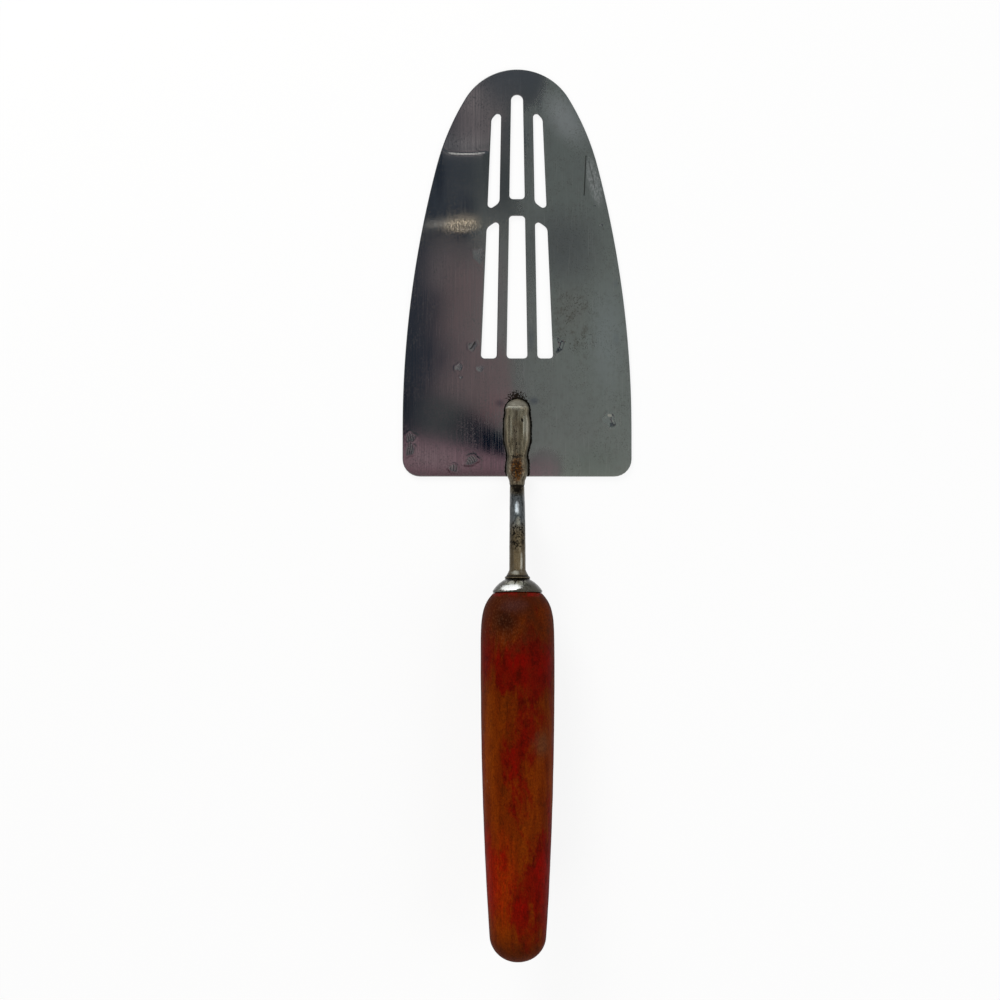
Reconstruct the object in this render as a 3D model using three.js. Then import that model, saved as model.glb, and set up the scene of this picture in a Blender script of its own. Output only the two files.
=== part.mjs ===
// Slotted spatula: a slotted sheet-steel blade welded to a cranked wire shank, with a pressed ferrule
// and a turned wooden handle.
// Millimetres, +Z up. The blade lies flat on z = 0 with its tip towards +Y, and the handle runs towards -Y.

import * as THREE from 'three';

// Driving dimensions, in millimetres and degrees

const blade = {
  length: 135.4,
  width: 76.2,
  thickness: 1.0,
  noseRadius: 20.1,
  noseAngle: 58.4, // how far the nose arc turns from the tip to each shoulder arc
  shoulderAngle: 75.3, // how far the outline has turned where a shoulder arc meets its side arc
  widestFromRear: 15.3,
  cornerRadius: 5.8,
};

// Two rows of three slots, which fan out and widen towards the rear.
const slots = {
  tipMargin: 8.3, // blade's tip to the front row
  frontRowLength: 34.8,
  bridge: 5.5, // between the rows
  rearMargin: 39.3, // rear row to the blade's rear edge
  centreWidthFront: 3.9,
  centreWidthRear: 6.9,
  barFront: 3.25, // between a centre slot and a side slot
  barRear: 3.35,
  sideWidthFront: 2.95,
  sideWidthRear: 5.2,
  frontSetback: 4.4, // how far a side slot's end lies behind the centre slot's end
  bridgeSetback: 1.15,
  frontSlant: 51,
  bridgeSlant: 36,
  cornerRadius: 1.2,
  sharpRadius: 1.1, // at the sharp corner of a slanted end
  bluntRadius: 2.4, // at its blunt corner
};

// The tongue is the wire's forged end on the blade. Its places are distances from its tip along the wire.
const tongue = {
  overBlade: 25.8,
  behindBlade: 2.8,
  tipFlat: 0.08, // where the tip is cut off
  headLength: 3.6, // the rounded end in plan
  facetLength: 2.8, // the sloping front face
  tipHeight: 0.8,
  headWidth: 8.1,
  headHeight: 2.9,
  notchAt: 4.6,
  notchWidth: 7.85,
  bodyFrom: 7.5,
  bodyTo: 13.0,
  bodyWidth: 8.8,
  bodyHeight: 3.2,
  waistAt: 19.2,
  waistWidth: 6.6,
  waistHeight: 3.6,
  lobeFrom: 22.3,
  lobeTo: 24.0,
  lobeWidth: 7.4,
  lobeHeight: 4.4,
  squareness: 2.4, // exponent of the section's curve, where 2 is an ellipse
  underRound: 0.18, // how far below the seat the section would close, as a share of its height
};

const shank = {
  neckDiameter: 4.85,
  rodDiameter: 5.45,
  neckLift: 0.1, // the neck's underside above the plane that the blade lies on
  crankAngle: 45,
  crankRise: 7.5,
  lowerBendRadius: 5.0,
  upperBendRadius: 12.0,
  handleTilt: 6,
  collarFromBlade: 33.4, // blade's rear edge to the collar's flat underside, along Y
  collarDiameter: 8.35,
  collarFlare: 2.15,
  collarHollow: 1.15, // exponent of the flare's curve, where 1 is a plain cone
  collarRim: 0.85, // the rounded rim, along the wire
  collarRimProud: 0.42, // how far the rim stands out over the flare's end
  tangDiameter: 5.0,
  tangLength: 68,
  tangPoint: 5,
  tangPointDiameter: 2.2,
};

const ferrule = {
  topDiameter: 8.4, // the flat ring under the collar
  domeHeight: 3.64,
  rimDiameter: 16.2,
  rimHeight: 0.65,
  wall: 0.6,
};

const handle = {
  length: 116.1, // ferrule's rim to the butt
  rimProud: 0.15, // how far the ferrule's rim stands out over the wood
  diameter: 24.0,
  fattestFromNeck: 15.4,
  neckSlope: 45, // the shoulder's slope at the ferrule
  neckFlare: 3.1, // how far the shoulder keeps near that slope
  shoulderFlare: 8.8, // how far the shoulder keeps near the full diameter
  barrelHold: 20, // how far the barrel keeps near the full diameter
  buttDiameter: 18.1,
  buttTaper: 4, // the barrel's slope where it meets the butt
  buttRun: 40, // how far the barrel keeps near that slope
  buttLength: 7.7,
  boreSpare: 1.5, // room behind the tang's point
  drillAngle: 118,
};

const fit = {
  seat: 0.25, // between faces that seat on each other along the handle's axis
  tang: 0.25, // all round the tang
  bladeEdge: 0.4, // where the shank drops behind the blade's rear edge
};

const facets = {
  wireSides: 28,
  turnedSides: 48,
  noseSteps: 28,
  shoulderSteps: 6,
  sideSteps: 10,
  cornerSteps: 7,
  slotCornerSteps: 5,
  tongueNoseRings: 6,
  tongueRings: 21,
  throatRings: 4,
  bendStep: 7, // degrees of bend for each ring of the wire
  flareRings: 6,
  collarRimRings: 8,
  domeSteps: 8,
  handleSteps: 10, // for each of the handle's curves
};

// Shared shapes

const radians = THREE.MathUtils.degToRad;
const lerp = THREE.MathUtils.lerp;
const quarter = Math.PI / 2;

function ease(from, to, share) {
  return lerp(from, to, THREE.MathUtils.smoothstep(share, 0, 1));
}

// Reads a value from a list of [place, value] knots, easing from each knot to the next.
function alongKnots(knots, place) {
  const next = knots.findIndex((knot) => place <= knot[0]);
  if (next === 0) return knots[0][1];
  if (next < 0) return knots.at(-1)[1];
  const [start, from] = knots[next - 1];
  const [end, to] = knots[next];
  return ease(from, to, (place - start) / (end - start));
}

function arc(centre, radius, from, to, steps) {
  return new THREE.EllipseCurve(centre.x, centre.y, radius, radius, from, to).getPoints(steps);
}

// A polygon, given anticlockwise, with an arc at each corner.
function roundedPolygon(corners, radii) {
  return corners.flatMap((corner, index) => {
    const before = corners.at(index - 1);
    const after = corners[(index + 1) % corners.length];
    const back = before.clone().sub(corner).normalize();
    const onward = after.clone().sub(corner).normalize();
    const half = back.angleTo(onward) / 2;
    const middle = back.add(onward).normalize();
    const centre = corner.clone().addScaledVector(middle, radii[index] / Math.sin(half));
    const start = middle.angle() + quarter + half;
    return arc(centre, radii[index], start, start + Math.PI - 2 * half, facets.slotCornerSteps);
  });
}

// A closed skin over rings of points, with a flat end on the first and the last ring.
function loft(rings) {
  const sides = rings[0].length;
  const positions = rings.flat().flatMap((point) => point.toArray());
  const triangles = [];
  for (let ring = 0; ring < rings.length - 1; ring += 1) {
    for (let side = 0; side < sides; side += 1) {
      const here = ring * sides + side;
      const beside = ring * sides + ((side + 1) % sides);
      triangles.push(here, beside, beside + sides);
      triangles.push(here, beside + sides, here + sides);
    }
  }
  const last = (rings.length - 1) * sides;
  for (let side = 1; side < sides - 1; side += 1) {
    triangles.push(0, side + 1, side);
    triangles.push(last, last + side, last + side + 1);
  }
  const geometry = new THREE.BufferGeometry();
  geometry.setAttribute('position', new THREE.Float32BufferAttribute(positions, 3));
  geometry.setIndex(triangles);
  geometry.computeVertexNormals();
  return geometry;
}

// A turned piece about local Y. Its profile's points are (radius, distance behind the collar's underside).
function turned(profile) {
  const points = profile.map((point) => new THREE.Vector2(point.x, -point.y));
  return new THREE.LatheGeometry(points, facets.turnedSides);
}

// Blade

// The outline turns through a nose arc, two shoulder arcs and two side arcs, each tangent to the next.
// The shoulder and side radii follow from the blade's length and width.
function bladeOutline() {
  const nose = radians(blade.noseAngle);
  const shoulder = radians(blade.shoulderAngle);
  const across = blade.width / 2 - blade.noseRadius * Math.sin(nose);
  const along = blade.length - blade.widestFromRear - blade.noseRadius * (1 - Math.cos(nose));
  const shoulderAcross = Math.sin(shoulder) - Math.sin(nose);
  const shoulderAlong = Math.cos(nose) - Math.cos(shoulder);
  const sideAcross = 1 - Math.sin(shoulder);
  const sideAlong = Math.cos(shoulder);
  const spread = shoulderAcross * sideAlong - sideAcross * shoulderAlong;
  const shoulderRadius = (across * sideAlong - along * sideAcross) / spread;
  const sideRadius = (along * shoulderAcross - across * shoulderAlong) / spread;

  const noseCentre = new THREE.Vector2(0, blade.length - blade.noseRadius);
  const shoulderCentre = new THREE.Vector2(Math.sin(nose), Math.cos(nose))
    .multiplyScalar(blade.noseRadius - shoulderRadius)
    .add(noseCentre);
  const sideCentre = new THREE.Vector2(blade.width / 2 - sideRadius, blade.widestFromRear);
  const cornerCentre = new THREE.Vector2(blade.width / 2 - blade.cornerRadius, blade.cornerRadius);

  const rightSide = [
    ...arc(cornerCentre, blade.cornerRadius, -quarter, 0, facets.cornerSteps),
    ...arc(sideCentre, sideRadius, 0, quarter - shoulder, facets.sideSteps),
    ...arc(shoulderCentre, shoulderRadius, quarter - shoulder, quarter - nose, facets.shoulderSteps).slice(1),
  ];
  const noseArc = arc(noseCentre, blade.noseRadius, quarter - nose, quarter + nose, facets.noseSteps);
  const leftSide = rightSide.map((point) => new THREE.Vector2(-point.x, point.y)).reverse();
  return [...rightSide, ...noseArc.slice(1, -1), ...leftSide];
}

const slotsFront = blade.length - slots.tipMargin;
const bridgeFront = slotsFront - slots.frontRowLength;
const bridgeRear = bridgeFront - slots.bridge;

// The slots' edges are straight lines from the front of the slotted field to its rear.
function slotEdges(place) {
  const share = (slotsFront - place) / (slotsFront - slots.rearMargin);
  const centre = lerp(slots.centreWidthFront, slots.centreWidthRear, share) / 2;
  const inner = centre + lerp(slots.barFront, slots.barRear, share);
  const outer = inner + lerp(slots.sideWidthFront, slots.sideWidthRear, share);
  return { centre, inner, outer };
}

function centreSlot(front, rear, frontRadius) {
  const halfFront = slotEdges(front).centre;
  const halfRear = slotEdges(rear).centre;
  const corners = [
    new THREE.Vector2(-halfRear, rear),
    new THREE.Vector2(halfRear, rear),
    new THREE.Vector2(halfFront, front),
    new THREE.Vector2(-halfFront, front),
  ];
  return roundedPolygon(corners, [slots.cornerRadius, slots.cornerRadius, frontRadius, frontRadius]);
}

// A right-hand side slot. Its slanted ends slope back from the centre, so their outer corners lie further back.
function sideSlot(front, frontSlant, rear, rearSlant) {
  const slantBack = (place, slant) => {
    const { inner, outer } = slotEdges(place);
    return place - (outer - inner) * Math.tan(radians(slant));
  };
  const outerFront = slantBack(front, frontSlant);
  const outerRear = slantBack(rear, rearSlant);
  const corners = [
    new THREE.Vector2(slotEdges(rear).inner, rear),
    new THREE.Vector2(slotEdges(outerRear).outer, outerRear),
    new THREE.Vector2(slotEdges(outerFront).outer, outerFront),
    new THREE.Vector2(slotEdges(front).inner, front),
  ];
  const rearRadii = rearSlant ? [slots.bluntRadius, slots.sharpRadius] : [slots.cornerRadius, slots.cornerRadius];
  return roundedPolygon(corners, [...rearRadii, slots.bluntRadius, slots.sharpRadius]);
}

function makeBlade() {
  const sideFront = slotsFront - slots.frontSetback;
  const sideBridgeFront = bridgeFront - slots.bridgeSetback;
  const sideBridgeRear = bridgeRear - slots.bridgeSetback;
  const sideSlots = [
    sideSlot(sideFront, slots.frontSlant, sideBridgeFront, slots.bridgeSlant),
    sideSlot(sideBridgeRear, slots.bridgeSlant, slots.rearMargin, 0),
  ];
  const cuts = [
    centreSlot(slotsFront, bridgeFront, slotEdges(slotsFront).centre),
    centreSlot(bridgeRear, slots.rearMargin, slots.cornerRadius),
    ...sideSlots,
    ...sideSlots.map((points) => points.map((point) => new THREE.Vector2(-point.x, point.y))),
  ];
  const sheet = new THREE.Shape(bladeOutline());
  sheet.holes = cuts.map((points) => new THREE.Path(points));
  return new THREE.ExtrudeGeometry(sheet, { depth: blade.thickness, bevelEnabled: false });
}

// Shank

const neckRadius = shank.neckDiameter / 2;
const rodRadius = shank.rodDiameter / 2;
const tangRadius = shank.tangDiameter / 2;
const tongueLength = tongue.overBlade + tongue.behindBlade;

// The wire's bends. The straight between them gives the crank its rise, and the one after them reaches the collar.
function wireRuns() {
  const up = radians(shank.crankAngle);
  const tilt = radians(shank.handleTilt);
  const bendsRise = shank.lowerBendRadius * (1 - Math.cos(up))
    + shank.upperBendRadius * (Math.cos(tilt) - Math.cos(up));
  const slope = (shank.crankRise - bendsRise) / Math.sin(up);
  const crankReach = shank.lowerBendRadius * Math.sin(up) + slope * Math.cos(up)
    + shank.upperBendRadius * (Math.sin(up) - Math.sin(tilt));
  const straight = (shank.collarFromBlade - tongue.behindBlade - crankReach) / Math.cos(tilt);
  return {
    seated: { length: tongueLength, turn: 0 },
    lowerBend: { length: shank.lowerBendRadius * up, turn: up },
    slope: { length: slope, turn: 0 },
    upperBend: { length: shank.upperBendRadius * (up - tilt), turn: tilt - up },
    straight: { length: straight, turn: 0 },
    tang: { length: shank.tangLength, turn: 0 },
  };
}

const runs = wireRuns();
const crank = [runs.lowerBend, runs.slope, runs.upperBend];
const crankLength = crank.reduce((sum, run) => sum + run.length, 0);
const collarSeat = tongueLength + crankLength + runs.straight.length;

// Follows one run of the wire for a stretch, from a place on its centreline with a given climb.
function stepAlong(from, run, stretch) {
  if (run.turn === 0) {
    const y = from.y - stretch * Math.cos(from.climb);
    const z = from.z + stretch * Math.sin(from.climb);
    return { y, z, climb: from.climb };
  }
  const radius = run.length / run.turn;
  const climb = from.climb + stretch / radius;
  const y = from.y - radius * (Math.sin(climb) - Math.sin(from.climb));
  const z = from.z + radius * (Math.cos(from.climb) - Math.cos(climb));
  return { y, z, climb };
}

function onWire(distance) {
  let here = { y: tongue.overBlade, z: neckRadius + shank.neckLift, climb: 0 };
  let left = distance;
  for (const run of Object.values(runs)) {
    const stretch = Math.min(left, run.length);
    here = stepAlong(here, run, stretch);
    left -= stretch;
  }
  return here;
}

// One ring of the wire, from half its width and its top and bottom above the centreline.
// The tongue's rings are flat where they seat on the blade, and drop behind its edge at 45 degrees.
function wireRing({ distance, half, top, bottom, squareness }) {
  const { y, z, climb } = onWire(distance);
  const middle = (top + bottom) / 2;
  const reach = (top - bottom) / 2;
  const curve = (value) => Math.sign(value) * Math.abs(value) ** (2 / squareness);
  const ring = [];
  for (let side = 0; side < facets.wireSides; side += 1) {
    const angle = (2 * Math.PI * side) / facets.wireSides;
    const above = middle + reach * curve(Math.sin(angle));
    const point = new THREE.Vector3(half * curve(Math.cos(angle)), y + above * Math.sin(climb), z);
    point.z += above * Math.cos(climb);
    if (distance <= tongueLength) {
      const seat = blade.thickness - Math.max(0, -fit.bladeEdge - y);
      point.z = Math.max(point.z, seat);
    }
    ring.push(point);
  }
  return ring;
}

function roundRing(distance, radius) {
  return wireRing({ distance, half: radius, top: radius, bottom: -radius, squareness: 2 });
}

// The tongue's plan and height come from its head, notch, body, waist and lobe, and end in the round neck.
function tongueRing(distance) {
  const widths = [
    [tongue.headLength, tongue.headWidth],
    [tongue.notchAt, tongue.notchWidth],
    [tongue.bodyFrom, tongue.bodyWidth],
    [tongue.bodyTo, tongue.bodyWidth],
    [tongue.waistAt, tongue.waistWidth],
    [tongue.lobeFrom, tongue.lobeWidth],
    [tongue.lobeTo, tongue.lobeWidth],
    [tongueLength, shank.neckDiameter],
  ];
  const heights = [
    [tongue.facetLength, tongue.headHeight],
    [tongue.bodyFrom, tongue.bodyHeight],
    [tongue.bodyTo, tongue.bodyHeight],
    [tongue.waistAt, tongue.waistHeight],
    [tongue.lobeFrom, tongue.lobeHeight],
  ];
  const headShare = Math.min(distance / tongue.headLength, 1);
  const facet = lerp(tongue.tipHeight, tongue.headHeight, distance / tongue.facetLength);
  const height = distance < tongue.facetLength ? facet : alongKnots(heights, distance);
  const seat = blade.thickness - neckRadius - shank.neckLift;
  const toNeck = (distance - tongue.lobeTo) / (tongueLength - tongue.lobeTo);
  return wireRing({
    distance,
    half: (alongKnots(widths, distance) / 2) * Math.sqrt(1 - (1 - headShare) ** 2),
    top: ease(seat + height, neckRadius, toNeck),
    bottom: ease(seat - height * tongue.underRound, -neckRadius, toNeck),
    squareness: ease(tongue.squareness, 2, toNeck),
  });
}

function tongueRings() {
  const rings = [];
  for (let step = 0; step < facets.tongueNoseRings; step += 1) {
    const share = (step / facets.tongueNoseRings) ** 2;
    rings.push(tongueRing(lerp(tongue.tipFlat, tongue.facetLength, share)));
  }
  const bladeEnd = tongue.overBlade + fit.bladeEdge;
  for (let step = 0; step <= facets.tongueRings; step += 1) {
    rings.push(tongueRing(lerp(tongue.facetLength, bladeEnd, step / facets.tongueRings)));
  }
  for (let step = 1; step <= facets.throatRings; step += 1) {
    rings.push(tongueRing(lerp(bladeEnd, tongueLength, step / facets.throatRings)));
  }
  return rings;
}

// The rod thickens from the neck to the collar, most of it over the crank.
function rodRings() {
  const flareStart = collarSeat - shank.collarRim - shank.collarFlare;
  const thickness = (distance) => {
    const share = (distance - tongueLength) / (flareStart - tongueLength);
    return lerp(neckRadius, rodRadius, Math.sqrt(share));
  };
  const rings = [];
  let start = tongueLength;
  for (const run of crank) {
    const steps = Math.max(1, Math.round(Math.abs(run.turn) / radians(facets.bendStep)));
    for (let step = 1; step <= steps; step += 1) {
      const distance = start + (run.length * step) / steps;
      rings.push(roundRing(distance, thickness(distance)));
    }
    start += run.length;
  }
  return rings;
}

// The collar flares out to a rounded rim with a flat underside.
function collarRings() {
  const flareEnd = collarSeat - shank.collarRim;
  const flareEndRadius = shank.collarDiameter / 2 - shank.collarRimProud;
  const rings = [];
  for (let step = 0; step <= facets.flareRings; step += 1) {
    const share = step / facets.flareRings;
    const distance = flareEnd - shank.collarFlare * (1 - share);
    rings.push(roundRing(distance, lerp(rodRadius, flareEndRadius, share ** shank.collarHollow)));
  }
  for (let step = 1; step <= facets.collarRimRings; step += 1) {
    const angle = (step / facets.collarRimRings) * Math.PI;
    const distance = flareEnd + (shank.collarRim * (1 - Math.cos(angle))) / 2;
    rings.push(roundRing(distance, flareEndRadius + shank.collarRimProud * Math.sin(angle)));
  }
  return rings;
}

function tangRings() {
  const end = collarSeat + shank.tangLength;
  return [
    roundRing(collarSeat, tangRadius),
    roundRing(end - shank.tangPoint, tangRadius),
    roundRing(end, shank.tangPointDiameter / 2),
  ];
}

function makeShank() {
  return loft([...tongueRings(), ...rodRings(), ...collarRings(), ...tangRings()]);
}

// Ferrule and handle, turned about the handle's axis

const boreRadius = tangRadius + fit.tang;
const ferruleTop = fit.seat;
const rimRadius = ferrule.rimDiameter / 2;
const rimEnd = ferruleTop + ferrule.domeHeight + ferrule.rimHeight;

// The cap's outside, or a surface that lies inside it by an inset: a flat ring round the hole, a dome and a rim.
function capProfile(inset, end) {
  const topRadius = ferrule.topDiameter / 2;
  const depth = (rimRadius ** 2 - topRadius ** 2 + ferrule.domeHeight ** 2) / (2 * ferrule.domeHeight);
  const centre = ferruleTop + depth;
  const radius = Math.hypot(topRadius, depth) - inset;
  const from = Math.acos((depth - inset) / radius);
  const to = Math.asin((rimRadius - inset) / radius);
  const points = [new THREE.Vector2(boreRadius, ferruleTop + inset)];
  for (let step = 0; step <= facets.domeSteps; step += 1) {
    const angle = lerp(from, to, step / facets.domeSteps);
    points.push(new THREE.Vector2(radius * Math.sin(angle), centre - radius * Math.cos(angle)));
  }
  points.push(new THREE.Vector2(rimRadius - inset, end));
  return points;
}

function makeFerrule() {
  const outside = capProfile(0, rimEnd);
  const inside = capProfile(ferrule.wall, rimEnd);
  return turned([...inside, ...outside.reverse(), inside[0]]);
}

// The wood's outside: a round shoulder, a long barrel and a butt that closes in a quarter ellipse.
function woodOutside(neckAt, buttEnd) {
  const roundness = 0.5523; // places a curve's handles so that it follows a quarter ellipse
  const neck = rimRadius - handle.rimProud;
  const full = handle.diameter / 2;
  const butt = handle.buttDiameter / 2;
  const fattestAt = neckAt + handle.fattestFromNeck;
  const buttAt = buttEnd - handle.buttLength;
  const taper = Math.tan(radians(handle.buttTaper));
  const buttHandle = handle.buttLength * roundness;

  const outside = new THREE.Path();
  outside.moveTo(neck, neckAt);
  outside.bezierCurveTo(
    neck + handle.neckFlare * Math.tan(radians(handle.neckSlope)), neckAt + handle.neckFlare,
    full, fattestAt - handle.shoulderFlare,
    full, fattestAt,
  );
  outside.bezierCurveTo(
    full, fattestAt + handle.barrelHold,
    butt + taper * handle.buttRun, buttAt - handle.buttRun,
    butt, buttAt,
  );
  outside.bezierCurveTo(
    butt - taper * buttHandle, buttAt + buttHandle,
    butt * roundness, buttEnd,
    0, buttEnd,
  );
  return outside.getPoints(facets.handleSteps);
}

function makeHandle() {
  const neckAt = rimEnd + fit.seat;
  const boreEnd = shank.tangLength + handle.boreSpare;
  const drillPoint = boreRadius / Math.tan(radians(handle.drillAngle / 2));
  const profile = [
    new THREE.Vector2(0, boreEnd + drillPoint),
    new THREE.Vector2(boreRadius, boreEnd),
    ...capProfile(ferrule.wall + fit.seat, neckAt),
    ...woodOutside(neckAt, rimEnd + handle.length),
  ];
  return turned(profile.reverse());
}

// Assembly

function piece(name, geometry, colour, roughness, metalness) {
  const material = new THREE.MeshStandardMaterial({ color: colour, roughness, metalness });
  const mesh = new THREE.Mesh(geometry, material);
  mesh.name = name;
  return mesh;
}

// The ferrule and the handle lie along the tang, from the collar's underside.
const seat = onWire(collarSeat);
const grip = new THREE.Group();
grip.position.set(0, seat.y, seat.z);
grip.rotation.x = -seat.climb;
grip.add(piece('ferrule', makeFerrule(), 0xa7a69c, 0.3, 1.0));
grip.add(piece('handle', makeHandle(), 0x7d2b14, 0.55, 0.0));

const tool = new THREE.Group();
tool.add(piece('blade', makeBlade(), 0x63686b, 0.3, 1.0));
tool.add(piece('shank', makeShank(), 0x8d897c, 0.38, 1.0));
tool.add(grip);

// The origin is under the middle of the tool's length, on the plane that the blade lies on.
const ends = new THREE.Box3().setFromObject(tool, true);
tool.position.y = -(ends.min.y + ends.max.y) / 2;

const spatula = new THREE.Group();
spatula.add(tool);

export default spatula;
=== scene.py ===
import math

import bpy
import numpy as np
from mathutils import Matrix, Vector
from mathutils.geometry import delaunay_2d_cdt


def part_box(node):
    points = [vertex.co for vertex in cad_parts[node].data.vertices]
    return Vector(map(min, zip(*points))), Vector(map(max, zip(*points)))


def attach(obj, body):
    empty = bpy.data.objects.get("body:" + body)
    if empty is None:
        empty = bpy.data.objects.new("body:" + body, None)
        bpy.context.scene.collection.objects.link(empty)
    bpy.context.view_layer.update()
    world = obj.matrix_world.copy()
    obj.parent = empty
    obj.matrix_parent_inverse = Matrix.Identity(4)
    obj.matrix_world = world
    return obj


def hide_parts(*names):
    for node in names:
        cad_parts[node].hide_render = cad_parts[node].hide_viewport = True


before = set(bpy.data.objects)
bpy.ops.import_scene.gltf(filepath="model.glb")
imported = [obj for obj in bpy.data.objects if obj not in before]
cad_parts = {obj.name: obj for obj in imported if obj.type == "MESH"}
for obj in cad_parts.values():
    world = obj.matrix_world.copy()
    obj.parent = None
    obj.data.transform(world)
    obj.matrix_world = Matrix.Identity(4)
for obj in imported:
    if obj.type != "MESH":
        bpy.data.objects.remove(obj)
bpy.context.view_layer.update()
mm = 0.001
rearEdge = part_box("blade")[0].y / mm  # Y of the blade's rear edge; places on the tool are counted from it
print("frame loaded, rear edge of the blade at", round(rearEdge, 3), "mm")


# shared shapes and nodes

def easeStep(low, high, value):
    share = np.clip((np.asarray(value, float) - low) / (high - low), 0, 1)
    return share * share * (3 - 2 * share)


def throughKnots(knots, place):
    places = [knot[0] for knot in knots]
    values = [knot[1] for knot in knots]
    index = int(np.clip(np.searchsorted(places, place), 1, len(knots) - 1))
    share = easeStep(places[index - 1], places[index], place)
    return values[index - 1] + (values[index] - values[index - 1]) * float(share)


quarterPull = 0.5523  # share of a radius at which a curve's handles make it follow a quarter ellipse


def bezier(start, first, second, end, steps):
    share = np.linspace(0, 1, steps + 1)[:, None]
    rest = 1 - share
    return (rest ** 3 * np.array(start) + 3 * rest ** 2 * share * np.array(first)
            + 3 * rest * share ** 2 * np.array(second) + share ** 3 * np.array(end))


def put(tree, kind, inputs=(), **settings):
    made = tree.nodes.new(kind)
    for name, value in settings.items():
        setattr(made, name, value)
    for key, value in dict(inputs).items():
        if isinstance(value, bpy.types.NodeSocket):
            tree.links.new(value, made.inputs[key])
        else:
            made.inputs[key].default_value = value
    return made


def emptyMaterial(name):
    material = bpy.data.materials.new(name)
    material.use_nodes = True
    material.node_tree.nodes.clear()
    return material


def storeValues(mesh, name, values):
    attribute = mesh.attributes.new(name, "FLOAT", "POINT")
    attribute.data.foreach_set("value", np.asarray(values, np.float32))


def showPiece(name, mesh, node):
    piece = bpy.data.objects.new(name, mesh)
    bpy.context.scene.collection.objects.link(piece)
    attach(piece, "root")
    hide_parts(node)
    print(name, len(mesh.vertices), "vertices,", len(mesh.polygons), "faces")
    return piece


# Geometry Nodes tree that lays a skin over a row of rings
# each ring is one vertex at the ring's centre, and vectors hold its section, its bend and its crease

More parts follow.
